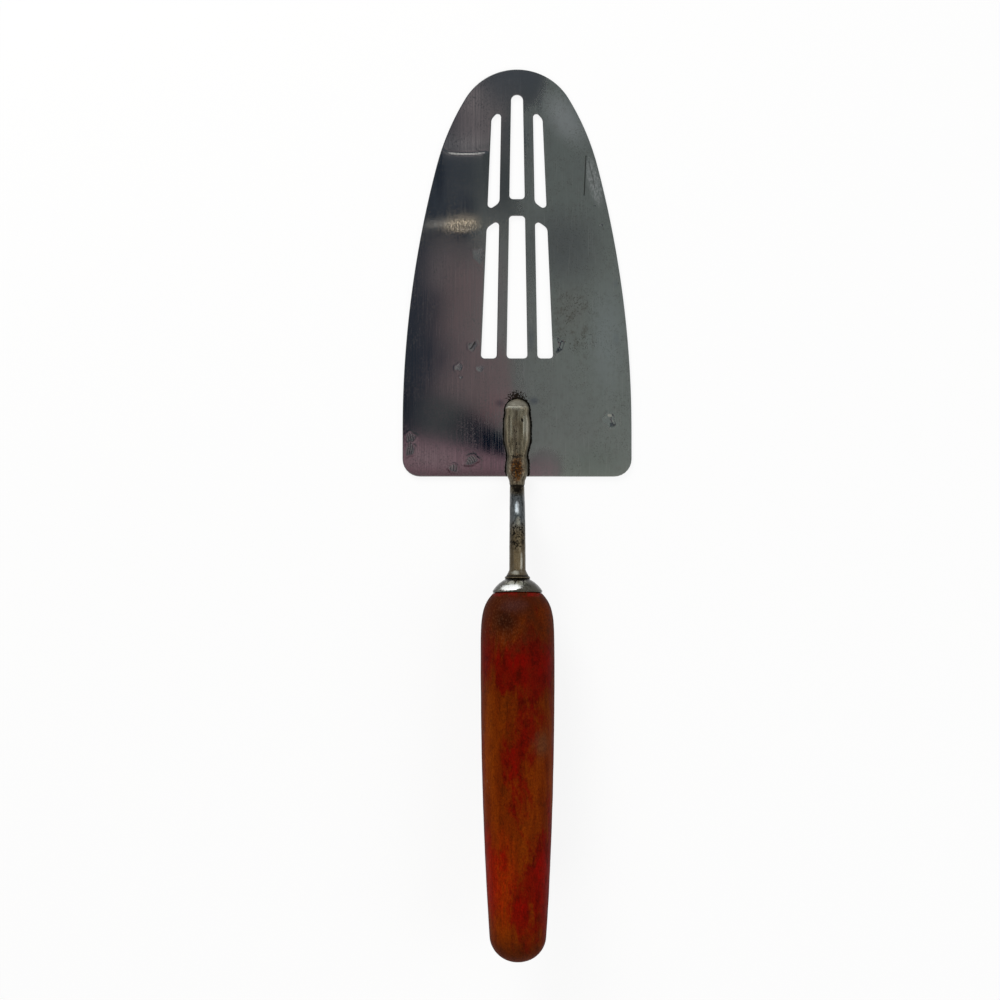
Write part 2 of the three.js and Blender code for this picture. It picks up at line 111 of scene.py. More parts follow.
def ringSkinTree():
    tree = bpy.data.node_groups.new("ringSkin", "GeometryNodeTree")
    sockets = [
        ("Rings", "NodeSocketGeometry"),
        ("Sides", "NodeSocketInt"),
        ("Unevenness", "NodeSocketFloat"),
        ("Patch Size", "NodeSocketFloat"),
        ("Seed", "NodeSocketFloat"),
        ("Finish", "NodeSocketMaterial"),
    ]
    for name, kind in sockets:
        tree.interface.new_socket(name=name, in_out="INPUT", socket_type=kind)
    tree.interface.new_socket(name="Skin", in_out="OUTPUT", socket_type="NodeSocketGeometry")
    given = tree.nodes.new("NodeGroupInput").outputs

    def calc(operation, first, second=0.0):
        return put(tree, "ShaderNodeMath", {0: first, 1: second}, operation=operation).outputs[0]

    # a grid with one column for each side of a ring, and one row for each ring
    rings = put(tree, "GeometryNodeAttributeDomainSize", {0: given["Rings"]}).outputs["Point Count"]
    columns = calc("ADD", given["Sides"], 1.0)
    grid = put(tree, "GeometryNodeMeshGrid", {"Vertices X": columns, "Vertices Y": rings})
    index = tree.nodes.new("GeometryNodeInputIndex").outputs[0]
    side = calc("FLOOR", calc("DIVIDE", calc("ADD", index, 0.5), rings))
    ring = calc("SUBTRACT", index, calc("MULTIPLY", side, rings))
    angle = calc("MULTIPLY", calc("DIVIDE", side, given["Sides"]), 2 * math.pi)

    def sampled(value):
        sample = put(tree, "GeometryNodeSampleIndex", {0: given["Rings"]},
                     data_type="FLOAT_VECTOR", domain="POINT")
        tree.links.new(value, sample.inputs["Value"])
        tree.links.new(ring, sample.inputs["Index"])
        return sample.outputs[0]

    def named(name):
        attribute = put(tree, "GeometryNodeInputNamedAttribute", {"Name": name}, data_type="FLOAT_VECTOR")
        return put(tree, "ShaderNodeSeparateXYZ", {0: sampled(attribute.outputs["Attribute"])}).outputs

    centre = sampled(tree.nodes.new("GeometryNodeInputPosition").outputs[0])
    half, top, bottom = named("section")
    climb, squareness, seat = named("bend")
    creaseAt, creaseDepth, creaseWidth = named("crease")

    def rounded(value):
        power = calc("POWER", calc("ABSOLUTE", value), calc("DIVIDE", 2.0, squareness))
        return calc("MULTIPLY", calc("SIGN", value), power)

    across = calc("MULTIPLY", half, rounded(calc("COSINE", angle)))
    middle = calc("MULTIPLY", calc("ADD", top, bottom), 0.5)
    reach = calc("MULTIPLY", calc("SUBTRACT", top, bottom), 0.5)
    above = calc("ADD", middle, calc("MULTIPLY", reach, rounded(calc("SINE", angle))))
    # a groove along both flanks of the upper side
    aside = calc("DIVIDE", calc("SUBTRACT", calc("ABSOLUTE", across), creaseAt), creaseWidth)
    fall = calc("EXPONENT", calc("MULTIPLY", calc("MULTIPLY", aside, aside), -1.0))
    groove = calc("MULTIPLY", creaseDepth, fall)
    onTop = calc("GREATER_THAN", calc("SINE", angle), 0.0)
    above = calc("SUBTRACT", above, calc("MULTIPLY", groove, onTop))
    offset = put(tree, "ShaderNodeCombineXYZ", {
        0: across,
        1: calc("MULTIPLY", above, calc("SINE", climb)),
        2: calc("MULTIPLY", above, calc("COSINE", climb)),
    })
    loose = put(tree, "ShaderNodeVectorMath", {0: centre, 1: offset.outputs[0]}, operation="ADD")
    x, y, z = put(tree, "ShaderNodeSeparateXYZ", {0: loose.outputs[0]}).outputs
    place = put(tree, "ShaderNodeCombineXYZ", {0: x, 1: y, 2: calc("MAXIMUM", z, seat)})

    mapped = put(tree, "GeometryNodeStoreNamedAttribute", {
        "Geometry": grid.outputs["Mesh"], "Name": "UVMap", "Value": grid.outputs["UV Map"],
    }, data_type="FLOAT2", domain="CORNER")
    laid = put(tree, "GeometryNodeSetPosition", {"Geometry": mapped.outputs[0], "Position": place.outputs[0]})
    closed = put(tree, "GeometryNodeMergeByDistance", {"Geometry": laid.outputs[0], "Distance": 2e-6})

    # slow hollows of the surface, always inwards
    here = tree.nodes.new("GeometryNodeInputPosition").outputs[0]
    scaled = put(tree, "ShaderNodeVectorMath", {0: here}, operation="SCALE")
    tree.links.new(calc("DIVIDE", 1.0, given["Patch Size"]), scaled.inputs["Scale"])
    swell = put(tree, "ShaderNodeTexNoise", {
        "Vector": scaled.outputs[0], "W": given["Seed"], "Scale": 1.0, "Detail": 2.0,
    }, noise_dimensions="4D")
    deepest = calc("MULTIPLY", given["Unevenness"], 2.0)
    amount = calc("MULTIPLY", calc("SUBTRACT", swell.outputs[0], 1.0), deepest)
    normal = tree.nodes.new("GeometryNodeInputNormal").outputs[0]
    outward = put(tree, "ShaderNodeVectorMath", {0: normal}, operation="SCALE")
    tree.links.new(amount, outward.inputs["Scale"])
    uneven = put(tree, "GeometryNodeSetPosition",
                 {"Geometry": closed.outputs[0], "Offset": outward.outputs[0]})

    smooth = put(tree, "GeometryNodeSetShadeSmooth", {"Geometry": uneven.outputs[0]})
    real = put(tree, "GeometryNodeRealizeInstances", {"Geometry": smooth.outputs[0]})
    finished = put(tree, "GeometryNodeSetMaterial",
                   {"Geometry": real.outputs[0], "Material": given["Finish"]})
    put(tree, "NodeGroupOutput", {"Skin": finished.outputs[0]})
    return tree


skinTree = ringSkinTree()


# runs the tree over a list of rings (millimetres) with a piece's own sizes, and returns the plain mesh
def skinOver(name, rings, form, finish):
    mesh = bpy.data.meshes.new(name + "Rings")
    mesh.from_pydata([Vector(ring["centre"]) * mm for ring in rings], [], [])
    for vector in ("section", "bend", "crease"):
        mesh.attributes.new(vector, "FLOAT_VECTOR", "POINT")
    section, bend, crease = (mesh.attributes[vector] for vector in ("section", "bend", "crease"))
    for index, ring in enumerate(rings):
        section.data[index].vector = Vector((ring["half"], ring["top"], ring["bottom"])) * mm
        bend.data[index].vector = (ring["climb"], ring.get("squareness", 2.0), ring.get("seat", -100.0) * mm)
        crease.data[index].vector = Vector(ring.get("crease", (0.0, 0.0, 1.0))) * mm
    holder = bpy.data.objects.new(name + "Rings", mesh)
    bpy.context.scene.collection.objects.link(holder)
    modifier = holder.modifiers.new("skin", "NODES")
    modifier.node_group = skinTree
    values = {
        "Sides": form["sides"],
        "Unevenness": form["unevenness"] * mm,
        "Patch Size": form["patchSize"] * mm,
        "Seed": form["seed"],
        "Finish": finish,
    }
    for item in skinTree.interface.items_tree:
        if item.in_out == "INPUT" and item.name in values:
            modifier[item.identifier] = values[item.name]
    graph = bpy.context.evaluated_depsgraph_get()
    skin = bpy.data.meshes.new_from_object(holder.evaluated_get(graph))
    bpy.data.objects.remove(holder)
    bpy.data.meshes.remove(mesh)
    skin.name = name
    return skin


# presses round hollows (millimetres) into a mesh: (x, y from the rear edge, z, radius, depth)
def pressHollows(mesh, hollows):
    steepness = 1.6  # a hollow has nearly ended at its radius
    places = np.empty(len(mesh.vertices) * 3, np.float32)
    mesh.vertices.foreach_get("co", places)
    places = places.reshape(-1, 3).astype(float)
    normals = np.array([vertex.normal for vertex in mesh.vertices])
    for x, y, z, radius, depth in hollows:
        away = np.linalg.norm(places / mm - np.array([x, y + rearEdge, z]), axis=1) / radius
        places -= normals * (depth * mm * np.exp(-(away * steepness) ** 2))[:, None]
    mesh.vertices.foreach_set("co", places.astype(np.float32).ravel())
    mesh.update()


# materials: short calls for the nodes that the finishes share; base is the colour so far

class Finish:
    def __init__(self, name):
        self.material = emptyMaterial(name)
        self.tree = self.material.node_tree
        self.base = None
        place = put(self.tree, "ShaderNodeTexCoord").outputs["Object"]
        self.place = put(self.tree, "ShaderNodeMapping", {"Vector": place, "Scale": (1 / mm,) * 3}).outputs[0]

    def calc(self, operation, first, second=0.0):
        return put(self.tree, "ShaderNodeMath", {0: first, 1: second}, operation=operation).outputs[0]

    def plus(self, first, second):
        return self.calc("ADD", first, second)

    def minus(self, first, second):
        return self.calc("SUBTRACT", first, second)

    def both(self, first, second):
        return self.calc("MULTIPLY", first, second)

    def either(self, first, second):
        return self.calc("MAXIMUM", first, second)

    # x, y and z of a vector, or of the place on the piece in millimetres
    def axes(self, vector=None):
        return put(self.tree, "ShaderNodeSeparateXYZ", {0: vector or self.place}).outputs

    # distance ahead of the blade's rear edge
    def along(self):
        return self.minus(self.axes()[1], rearEdge)

    # how far the surface faces upwards, from -1 to 1
    def facing(self):
        return self.axes(put(self.tree, "ShaderNodeTexCoord").outputs["Normal"])[2]

    def attribute(self, name):
        return put(self.tree, "ShaderNodeAttribute", attribute_name=name).outputs["Fac"]

    # a pattern with this many patches a millimetre along X, Y and Z
    def noise(self, scale, detail=3.0, rough=0.5, twist=0.0, turn=(0, 0, 0), shift=(0, 0, 0)):
        inputs = {"Vector": self.place, "Location": shift, "Rotation": turn, "Scale": scale}
        placed = put(self.tree, "ShaderNodeMapping", inputs).outputs[0]
        inputs = {"Vector": placed, "Scale": 1.0, "Detail": detail, "Roughness": rough, "Distortion": twist}
        return put(self.tree, "ShaderNodeTexNoise", inputs).outputs["Fac"]

    # a wavering value round 0, for uneven edges
    def waver(self, noise, amount):
        return self.both(self.minus(noise, 0.5), amount)

    def span(self, value, low, high, toLow=0.0, toHigh=1.0):
        inputs = {"Value": value, "From Min": low, "From Max": high, "To Min": toLow, "To Max": toHigh}
        return put(self.tree, "ShaderNodeMapRange", inputs, interpolation_type="SMOOTHSTEP").outputs[0]

    def blend(self, share, first, second, kind="MIX"):
        first, second = ((*each, 1.0) if isinstance(each, tuple) else each for each in (first, second))
        inputs = {0: share, 6: first, 7: second}
        return put(self.tree, "ShaderNodeMix", inputs, data_type="RGBA", blend_type=kind).outputs[2]

    # lays a colour over the base
    def coat(self, share, colour):
        self.base = self.blend(share, self.base, colour)

    # darkens or lightens the base
    def shade(self, value):
        self.base = self.blend(1.0, self.base, value, "MULTIPLY")

    # the place counted from a spot on the tool, in shares of the given half sizes, at any height
    def near(self, x, y, halfX, halfY, turn):
        inputs = {"Vector": self.place, "Location": (x, y + rearEdge, 0), "Scale": (halfX, halfY, 1e6)}
        inputs["Rotation"] = (0, 0, math.radians(turn))
        return put(self.tree, "ShaderNodeMapping", inputs, vector_type="TEXTURE").outputs[0]

    # 1 at a spot on the tool, falling to 0 at the given half sizes; wobble is a noise and its amount
    def spot(self, x, y, halfX, halfY, turn=0.0, soft=0.6, wobble=None):
        local = self.near(x, y, halfX, halfY, turn)
        away = put(self.tree, "ShaderNodeVectorMath", {0: local}, operation="LENGTH").outputs["Value"]
        if wobble:
            away = self.plus(away, self.waver(*wobble))
        return self.span(away, 1.0, 1.0 - soft)

    # the same for a soft-edged rectangle
    def panel(self, x, y, halfX, halfY, turn=0.0, soft=0.3):
        sides = self.axes(self.near(x, y, halfX, halfY, turn))[:2]
        return self.both(*(self.span(self.calc("ABSOLUTE", side), 1.0, 1.0 - soft) for side in sides))

    def bump(self, height, depth, strength):
        inputs = {"Height": height, "Distance": depth * mm, "Strength": strength}
        return put(self.tree, "ShaderNodeBump", inputs).outputs[0]

    def finish(self, roughness, normal, metallic, **fixed):
        inputs = {"Base Color": self.base, "Roughness": roughness, "Normal": normal, "Metallic": metallic}
        shader = put(self.tree, "ShaderNodeBsdfPrincipled", inputs)
        for name, value in fixed.items():
            shader.inputs[name.replace("_", " ")].default_value = value
        if "Anisotropic" in fixed:
            tangent = put(self.tree, "ShaderNodeTangent", direction_type="UV_MAP", uv_map="UVMap")
            self.tree.links.new(tangent.outputs[0], shader.inputs["Tangent"])
        put(self.tree, "ShaderNodeOutputMaterial", {"Surface": shader.outputs[0]})
        return self.material


# camera: straight above, at the photograph's distance

cameraPlace = {"x": -5.67, "y": -7.8, "height": 450.0, "frameWidth": 333.33}


def makeCamera():
    data = bpy.data.cameras.new("camera")
    data.sensor_width = 36.0
    data.lens = data.sensor_width * cameraPlace["height"] / cameraPlace["frameWidth"]
    data.clip_start = 0.01
    camera = bpy.data.objects.new("camera", data)
    camera.location = Vector((cameraPlace["x"], rearEdge + cameraPlace["y"], cameraPlace["height"])) * mm
    bpy.context.scene.collection.objects.link(camera)
    bpy.context.scene.camera = camera


# blade: a pressed sheet with worn edges, slow waves, dings and scratches

bladeSheet = {
    "thickness": 1.0,
    "upperRound": 0.13,
    "lowerRound": 0.1,
    "roundSteps": 4,
    "edgeStrip": 0.14,  # flat strip beside each round
    "edgePitch": 1.0,
    "pitch": 1.1,
    "finePitch": 0.24,
    "fineByTongue": 3.2,
    "fineByScratch": 0.8,
    "pointMargin": 0.4,  # free strip inside the edge, in pitches
    "underPitch": 3.0,
    "underMargin": 1.2,
    "textureSize": 100.0,
    "wave": 0.05,
    "waveFrom": 26.0,  # full waves this far from the tongue
    # x, y from the rear edge, half width, half length, turn in degrees, depth, strokes across it
    "dings": [
        (-12.6, 73.6, 1.9, 2.4, 10, 0.02, 0),
        (13.7, 43.8, 1.7, 2.4, 4, 0.22, 0),
        (30.8, 18.8, 1.7, 2.4, 25, 0.27, 0),
        (-35.4, 13.1, 1.5, 1.6, 12, 0.035, 4),
        (-35.6, 9.2, 1.4, 2.2, -8, 0.035, 4),
        (-15.1, 5.5, 1.9, 1.4, 30, 0.035, 5),
        (-21.1, 2.8, 1.4, 1.2, -4, 0.035, 3),
        (-19.4, 36.4, 1.3, 1.1, 35, 0.035, 0),
        (-12.3, 35.9, 1.3, 1.0, 15, 0.025, 0),
        (-14.8, 43.4, 1.3, 1.7, -35, 0.03, 2),
        (-18.6, 33.0, 0.5, 0.4, 0, 0.03, 0),
        (27.9, 83.6, 0.55, 0.35, 0, 0.10, 0),
        (25.8, 90.2, 0.3, 0.3, 0, 0.06, 0),
    ],
    # x from, x to, y at the middle, bow, upturn of the left end, height, reach of the slow and the steep side
    "buckles": [(-26.4, -8.0, 106.6, 0.9, 3.0, 0.1, 11.0, 0.82)],
    # x and y of both ends, half width, depth
    "scratches": [(22.9, 106.6, 22.3, 93.6, 0.16, 0.05), (23.9, 104.8, 25.9, 96.2, 0.12, 0.03)],
    "darkScratch": 0.05,  # depth at which a scratch is quite dark
}
# shape of every ding, in shares of its size and its depth
dingForm = {
    "lobes": (0.13, 0.09),
    "strokeBow": 0.12,
    "floor": 0.35,
    "betweenStrokes": 0.3,
    "rim": 0.75,
    "lip": 0.22,
    "lipAt": 1.15,
    "lipSharpness": 4.5,
    "reach": 1.9,
}


# closed loops of the CAD blade's upper edge, in millimetres, with the metal on their left
def bladeLoops():
    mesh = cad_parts["blade"].data
    corners = {}
    ends = {}
    for face in mesh.polygons:
        if face.normal.z < 0.9:
            continue
        keys = []
        for index in face.vertices:
            place = mesh.vertices[index].co / mm
            key = (round(place.x, 3), round(place.y, 3))
            corners[key] = (place.x, place.y - rearEdge)
            keys.append(key)
        for start, end in zip(keys, keys[1:] + keys[:1]):
            if (end, start) in ends:
                del ends[(end, start)]
            else:
                ends[(start, end)] = True
    following = dict(ends.keys())
    loops = []
    while following:
        start, key = following.popitem()
        loop = [corners[start]]
        while key != start:
            loop.append(corners[key])
            key = following.pop(key)
        loops.append(np.array(loop))
    return loops


# adds points between a loop's corners, on a curve where the loop bends gently
def refineLoop(loop, pitch):
    ahead = np.roll(loop, -1, axis=0) - loop
    heading = np.arctan2(ahead[:, 1], ahead[:, 0])
    bend = np.abs((heading - np.roll(heading, 1) + np.pi) % (2 * np.pi) - np.pi)
    points = []
    for index in range(len(loop)):
        here, after = loop[index], loop[(index + 1) % len(loop)]
        before, beyond = loop[index - 1], loop[(index + 2) % len(loop)]
        length = np.linalg.norm(after - here)
        steps = max(1, int(math.ceil(length / pitch)))
        gentle = max(bend[index], bend[(index + 1) % len(loop)]) < math.radians(9)
        startRun = (after - before) / np.linalg.norm(after - before) * length
        endRun = (beyond - here) / np.linalg.norm(beyond - here) * length
        for step in range(steps):
            t = step / steps
            if gentle:
                points.append((2 * t ** 3 - 3 * t ** 2 + 1) * here + (t ** 3 - 2 * t ** 2 + t) * startRun
                              + (3 * t ** 2 - 2 * t ** 3) * after + (t ** 3 - t ** 2) * endRun)
            else:
                points.append(here + (after - here) * t)
    return np.array(points)


def insetLoop(loop, distance):
    back = loop - np.roll(loop, 1, axis=0)
    ahead = np.roll(loop, -1, axis=0) - loop
    back /= np.linalg.norm(back, axis=1)[:, None]
    ahead /= np.linalg.norm(ahead, axis=1)[:, None]
    along = back + ahead
    along /= np.linalg.norm(along, axis=1)[:, None]
    left = np.stack([-along[:, 1], along[:, 0]], axis=1)
    corner = np.clip((along * ahead).sum(axis=1), 0.5, 1)
    return loop + left * (distance / corner)[:, None]


# distance from points to a line between two ends, and the share along it
def fromLine(points, start, end):
    start, end = np.array(start), np.array(end)
    run = end - start
    share = np.clip(((points - start) @ run) / (run @ run), 0, 1)
    return np.linalg.norm(points - start - share[:, None] * run, axis=1), share


# how far each point lies inside the metal, negative outside it
def depthInside(points, loops):
    inside = np.zeros(len(points), bool)
    nearest = np.full(len(points), np.inf)
    for loop in loops:
        for start, end in zip(loop, np.roll(loop, -1, axis=0)):
            nearest = np.minimum(nearest, fromLine(points, start, end)[0])
            crosses = (start[1] > points[:, 1]) != (end[1] > points[:, 1])
            if start[1] != end[1]:
                at = start[0] + (points[:, 1] - start[1]) / (end[1] - start[1]) * (end[0] - start[0])
                inside ^= crosses & (points[:, 0] < at)
    return np.where(inside, nearest, -nearest)


def hexPoints(low, high, pitch):
    points = []
    for number, y in enumerate(np.arange(low[1], high[1], pitch * math.sqrt(0.75))):
        x = np.arange(low[0] + (pitch / 2 if number % 2 else 0), high[0], pitch)
        points.append(np.stack([x, np.full(len(x), y)], axis=1))
    return np.concatenate(points)


# share of the way from a ding's middle to its uneven edge, and the strength of its strokes
def dingPlace(points, ding):
    x, y, halfX, halfY, turn, depth, strokes = ding
    angle = math.radians(turn)
    dx, dy = points[:, 0] - x, points[:, 1] - y
    across = (dx * math.cos(angle) + dy * math.sin(angle)) / halfX
    along = (dy * math.cos(angle) - dx * math.sin(angle)) / halfY
    around = np.arctan2(along, across)
    threeLobes, fiveLobes = dingForm["lobes"]
    edge = 1 + threeLobes * np.sin(3 * around + x) + fiveLobes * np.sin(5 * around + 2 * y)
    stroke = 0.5 + 0.5 * np.cos(math.pi * strokes * (across + dingForm["strokeBow"] * along ** 2))
    return np.hypot(across, along) / edge, stroke


def needsFine(points):
    fine = fromTongue(points) < bladeSheet["fineByTongue"]
    for ding in bladeSheet["dings"]:
        fine |= dingPlace(points, ding)[0] < dingForm["reach"]
    for x0, x1, y, bow, upturn, height, slow, steep in bladeSheet["buckles"]:
        nearLine = np.abs(points[:, 1] - y - upturn / 2) < 2.5 * steep + bow + upturn / 2
        fine |= (points[:, 0] > x0 - 1) & (points[:, 0] < x1 + 1) & nearLine
    for x0, y0, x1, y1, half, depth in bladeSheet["scratches"]:
        fine |= fromLine(points, (x0, y0), (x1, y1))[0] < bladeSheet["fineByScratch"]
    return fine


# slow crossing waves of the whole sheet; it lies flat under the tongue
def sheetWave(points):
    x, y = points[:, 0], points[:, 1]
    wave = np.sin(x / 11 + y / 31) * np.sin(y / 17 + 1.1) + 0.6 * np.sin(x / 7 - y / 23 + 2.0)
    lift = bladeSheet["wave"] * (wave / 1.6 + 1) / 2
    return lift * easeStep(0, bladeSheet["waveFrom"], fromTongue(points))


# height of the dings, the buckle and the scratches
def sheetMarks(points):
    marks = np.zeros(len(points))
    form = dingForm
    for ding in bladeSheet["dings"]:
        away, stroke = dingPlace(points, ding)
        sunk = 1 - easeStep(form["floor"], 1.0, away)
        sunk = sunk * (form["betweenStrokes"] + (1 - form["betweenStrokes"]) * stroke)
        sunk = sunk * (form["rim"] + (1 - form["rim"]) * (1 - np.clip(away, 0, 1)))
        raised = form["lip"] * np.exp(-((away - form["lipAt"]) * form["lipSharpness"]) ** 2)
        marks -= ding[5] * (sunk - raised)
    for x0, x1, y, bow, upturn, height, slow, steep in bladeSheet["buckles"]:
        share = (points[:, 0] - x0) / (x1 - x0)
        line = y + bow * (2 * share - 1) ** 2 + upturn * (np.clip(0.25 - share, 0, 0.25) / 0.25) ** 2
        fade = easeStep(-0.02, 0.08, share) * easeStep(1.0, 0.8, share)
        past = points[:, 1] - line
        marks += height * fade * np.exp(-(past / np.where(past > 0, steep, slow)) ** 2)
    for x0, y0, x1, y1, half, depth in bladeSheet["scratches"]:
        away, share = fromLine(points, (x0, y0), (x1, y1))
        marks -= depth * np.exp(-(away / half) ** 2)
    return marks


def triangulated(loops, inner):
    points = np.concatenate([*loops, inner])
    edges = []
    start = 0
    for loop in loops:
        count = len(loop)
        edges += [(start + index, start + (index + 1) % count) for index in range(count)]
        start += count
    made = delaunay_2d_cdt([Vector(point) for point in points], edges, [], 1, 1e-6)
    source = np.array([numbers[0] for numbers in made[3]])
    faces = source[np.array(made[2])]
    return points, faces[depthInside(points[faces].mean(axis=1), loops) > 0].tolist()


def makeBlade(finish):
    sheet = bladeSheet
    loops = bladeLoops()
    low = np.min([loop.min(axis=0) for loop in loops], axis=0)
    high = np.max([loop.max(axis=0) for loop in loops], axis=0)
    loops = [np.clip(refineLoop(loop, sheet["edgePitch"]), low, high) for loop in loops]

    def innerPoints(pitch, margin):
        points = hexPoints(low, high, pitch)
        return points[depthInside(points, loops) > margin]

    # upper face: a coarse field of points, with fine ones where it is marked
    upperInset = sheet["upperRound"] + sheet["edgeStrip"]
    lowerInset = sheet["lowerRound"] + sheet["edgeStrip"]
    coarse = innerPoints(sheet["pitch"], upperInset + sheet["pointMargin"] * sheet["pitch"])
    coarse = coarse[~needsFine(coarse)]
    fine = hexPoints(low, high, sheet["finePitch"])
    fine = fine[needsFine(fine)]
    fine = fine[depthInside(fine, loops) > upperInset + sheet["pointMargin"] * sheet["finePitch"]]
    upperLoops = [insetLoop(loop, upperInset) for loop in loops]
    upper, upperFaces = triangulated(upperLoops, np.concatenate([coarse, fine]))
    lowerLoops = [insetLoop(loop, lowerInset) for loop in loops]
    lower, lowerFaces = triangulated(lowerLoops, innerPoints(sheet["underPitch"], sheet["underMargin"]))

    edgeCount = sum(len(loop) for loop in loops)
    upperZ = sheet["thickness"] + sheetWave(upper) + sheetMarks(upper)
    rows = [np.column_stack([upper, upperZ])]
    faces = [tuple(face) for face in upperFaces]

    # rim: a worn round, the cut wall and a small round below
    turns = [math.pi / 2 * step / sheet["roundSteps"] for step in range(sheet["roundSteps"] + 1)]
    top, upperRound, lowerRound = sheet["thickness"], sheet["upperRound"], sheet["lowerRound"]
    profile = [(upperRound * (1 - math.sin(turn)), top - upperRound * (1 - math.cos(turn))) for turn in turns]
    profile += [(lowerRound * (1 - math.cos(turn)), lowerRound * (1 - math.sin(turn))) for turn in turns]
    starts = [0]
    total = len(upper)
    for inset, height in profile:
        ring = np.concatenate([insetLoop(loop, inset) for loop in loops])
        ringZ = height + sheetWave(ring)
        if height > sheet["thickness"] / 2:
            ringZ += sheetMarks(ring)
        rows.append(np.column_stack([ring, ringZ]))
        starts.append(total)
        total += edgeCount
    rows.append(np.column_stack([lower, sheetWave(lower)]))
    starts.append(total)
    for above, below in zip(starts, starts[1:]):
        first = 0
        for loop in loops:
            count = len(loop)
            for index in range(count):
                here, after = first + index, first + (index + 1) % count
                faces.append((above + here, below + here, below + after, above + after))
            first += count
    faces += [tuple(total + index for index in reversed(face)) for face in lowerFaces]

    places = np.concatenate(rows)
    places[:, 1] += rearEdge
    mesh = bpy.data.meshes.new("blade_sheet")
    mesh.from_pydata((places * mm).tolist(), [], faces)
    mesh.polygons.foreach_set("use_smooth", np.ones(len(mesh.polygons), bool))

    flat = np.column_stack([places[:, 0], places[:, 1] - rearEdge])
    cut = np.zeros(len(flat))
    for x0, y0, x1, y1, half, depth in sheet["scratches"]:
        away, share = fromLine(flat, (x0, y0), (x1, y1))
        cut = np.maximum(cut, depth / sheet["darkScratch"] * np.exp(-(away / half / 1.2) ** 2))
    for ding in sheet["dings"]:
        if ding[6]:
            away, stroke = dingPlace(flat, ding)
            cut = np.maximum(cut, 0.8 * (1 - easeStep(0.7, 1.1, away)) * easeStep(0.5, 0.9, stroke))
    inDing = np.max([1 - easeStep(0.8, 1.2, dingPlace(flat, ding)[0]) for ding in sheet["dings"]], axis=0)
    onRim = np.zeros(len(flat))
    onRim[len(upper) + edgeCount:total] = 1.0
    for name, values in [("grimeAndShade", tongueGrimeAndShade(flat)), ("cut", cut), ("rim", onRim), ("ding", inDing)]:
        storeValues(mesh, name, values)
    layer = mesh.uv_layers.new(name="UVMap")
    corners = np.empty(len(mesh.loops), np.int32)
    mesh.loops.foreach_get("vertex_index", corners)
    spread = places[:, :2] / sheet["textureSize"] + places[:, 2:] * 0.003
    layer.data.foreach_set("uv", spread[corners].astype(np.float32).ravel())
    mesh.materials.append(finish)
    mesh.validate()
    return showPiece("blade_sheet", mesh, "blade")


# shank: the forged tongue on the blade, the cranked rod, the collar and the tang, all one wire

shankWire = {
    "overBlade": 25.8,
    "behindBlade": 2.8,
    "neckRadius": 2.425,
    "rodRadius": 2.725,
    "neckLift": 0.1,
    "crankAngle": math.radians(45),
    "crankRise": 7.5,
    "lowerBend": 5.0,
    "upperBend": 12.0,
    "tilt": math.radians(6),
    "collarFromBlade": 33.4,
    "collarRadius": 4.175,
    "collarFlare": 2.15,
    "collarHollow": 1.15,
    "collarRim": 0.85,
    "collarRimProud": 0.42,
    "collarUnderside": 0.4,  # below 0.5 the rim's lower half is squarer than round
    "collarSteps": 16,
    "tangRadius": 2.5,
    "tangFoot": (0.2, 0.1),
    "tangLength": 68.0,
    "tangPoint": 5.0,
    "tangPointRadius": 1.1,
    "bladeEdge": 0.4,
    "noseSteps": 12,
    "ringStep": 0.22,
    "sides": 128,
    "unevenness": 0.05,
    "patchSize": 2.6,
    "seed": 3.0,
}
tongueForm = {
    "tipFlat": 0.01,
    "headLength": 3.6,
    "facetLength": 2.8,
    "tipHeight": 0.8,
    "headHeight": 2.9,
    "ridge": 0.16,
    "ridgeAt": 2.9,
    "ridgeWidth": 0.3,
    "squareness": 2.4,
    "underRound": 0.18,
    "neckFrom": 24.0,
    # distance from the tip, and the size there
    "widths": [
        (3.6, 8.1), (4.6, 7.85), (7.5, 8.8), (13.0, 8.8), (19.2, 6.6), (22.3, 7.4), (24.0, 7.4), (28.6, 4.85),
    ],
    "heights": [(2.8, 2.9), (7.5, 3.2), (13.0, 3.2), (19.2, 3.6), (22.3, 4.4), (30.0, 4.4)],
    "creaseAt": 0.52,  # share of the half width
    "creaseDepth": 0.12,
    "creaseWidth": 0.42,
    # distances where a crease starts, is full, is full still, and ends, and its amount
    "creases": [(4.2, 6.5, 17.5, 20.5, 1.0), (19.6, 21.5, 24.5, 27.0, 0.7)],
    # x, y from the rear edge, z, radius, depth
    "hollows": [(0.3, 22.9, 3.9, 0.9, 0.24), (-1.2, 23.4, 3.8, 0.7, 0.2), (2.6, 22.6, 3.5, 0.7, 0.2),
                (-2.9, 23.0, 3.4, 0.7, -0.16), (1.6, 23.0, 3.9, 0.6, -0.14), (-1.6, 22.2, 4.1, 0.6, -0.12),
                (1.6, 18.6, 4.2, 0.6, 0.12), (-0.8, 9.8, 4.4, 0.5, 0.08), (0.6, 11.2, 4.3, 0.4, 0.08),
                (0.2, 5.2, 4.8, 0.9, 0.12), (-1.0, 1.6, 5.0, 0.8, 0.1), (0.9, 0.4, 5.0, 0.7, 0.1)],
    "lipAt": 28.2,
    "lip": 0.16,
    "lipWidth": 0.55,
    "grooveAt": 28.95,
    "groove": 0.12,
    "grooveWidth": 0.25,
}
tongueLength = shankWire["overBlade"] + shankWire["behindBlade"]


# a rounded ridge of height 1 at a place
def ridge(distance, place, width):
    return math.exp(-((distance - place) / width) ** 2)


def tongueHalf(distance):
    head = min(distance / tongueForm["headLength"], 1.0)
    return throughKnots(tongueForm["widths"], distance) / 2 * math.sqrt(max(0.0, 1 - (1 - head) ** 2))


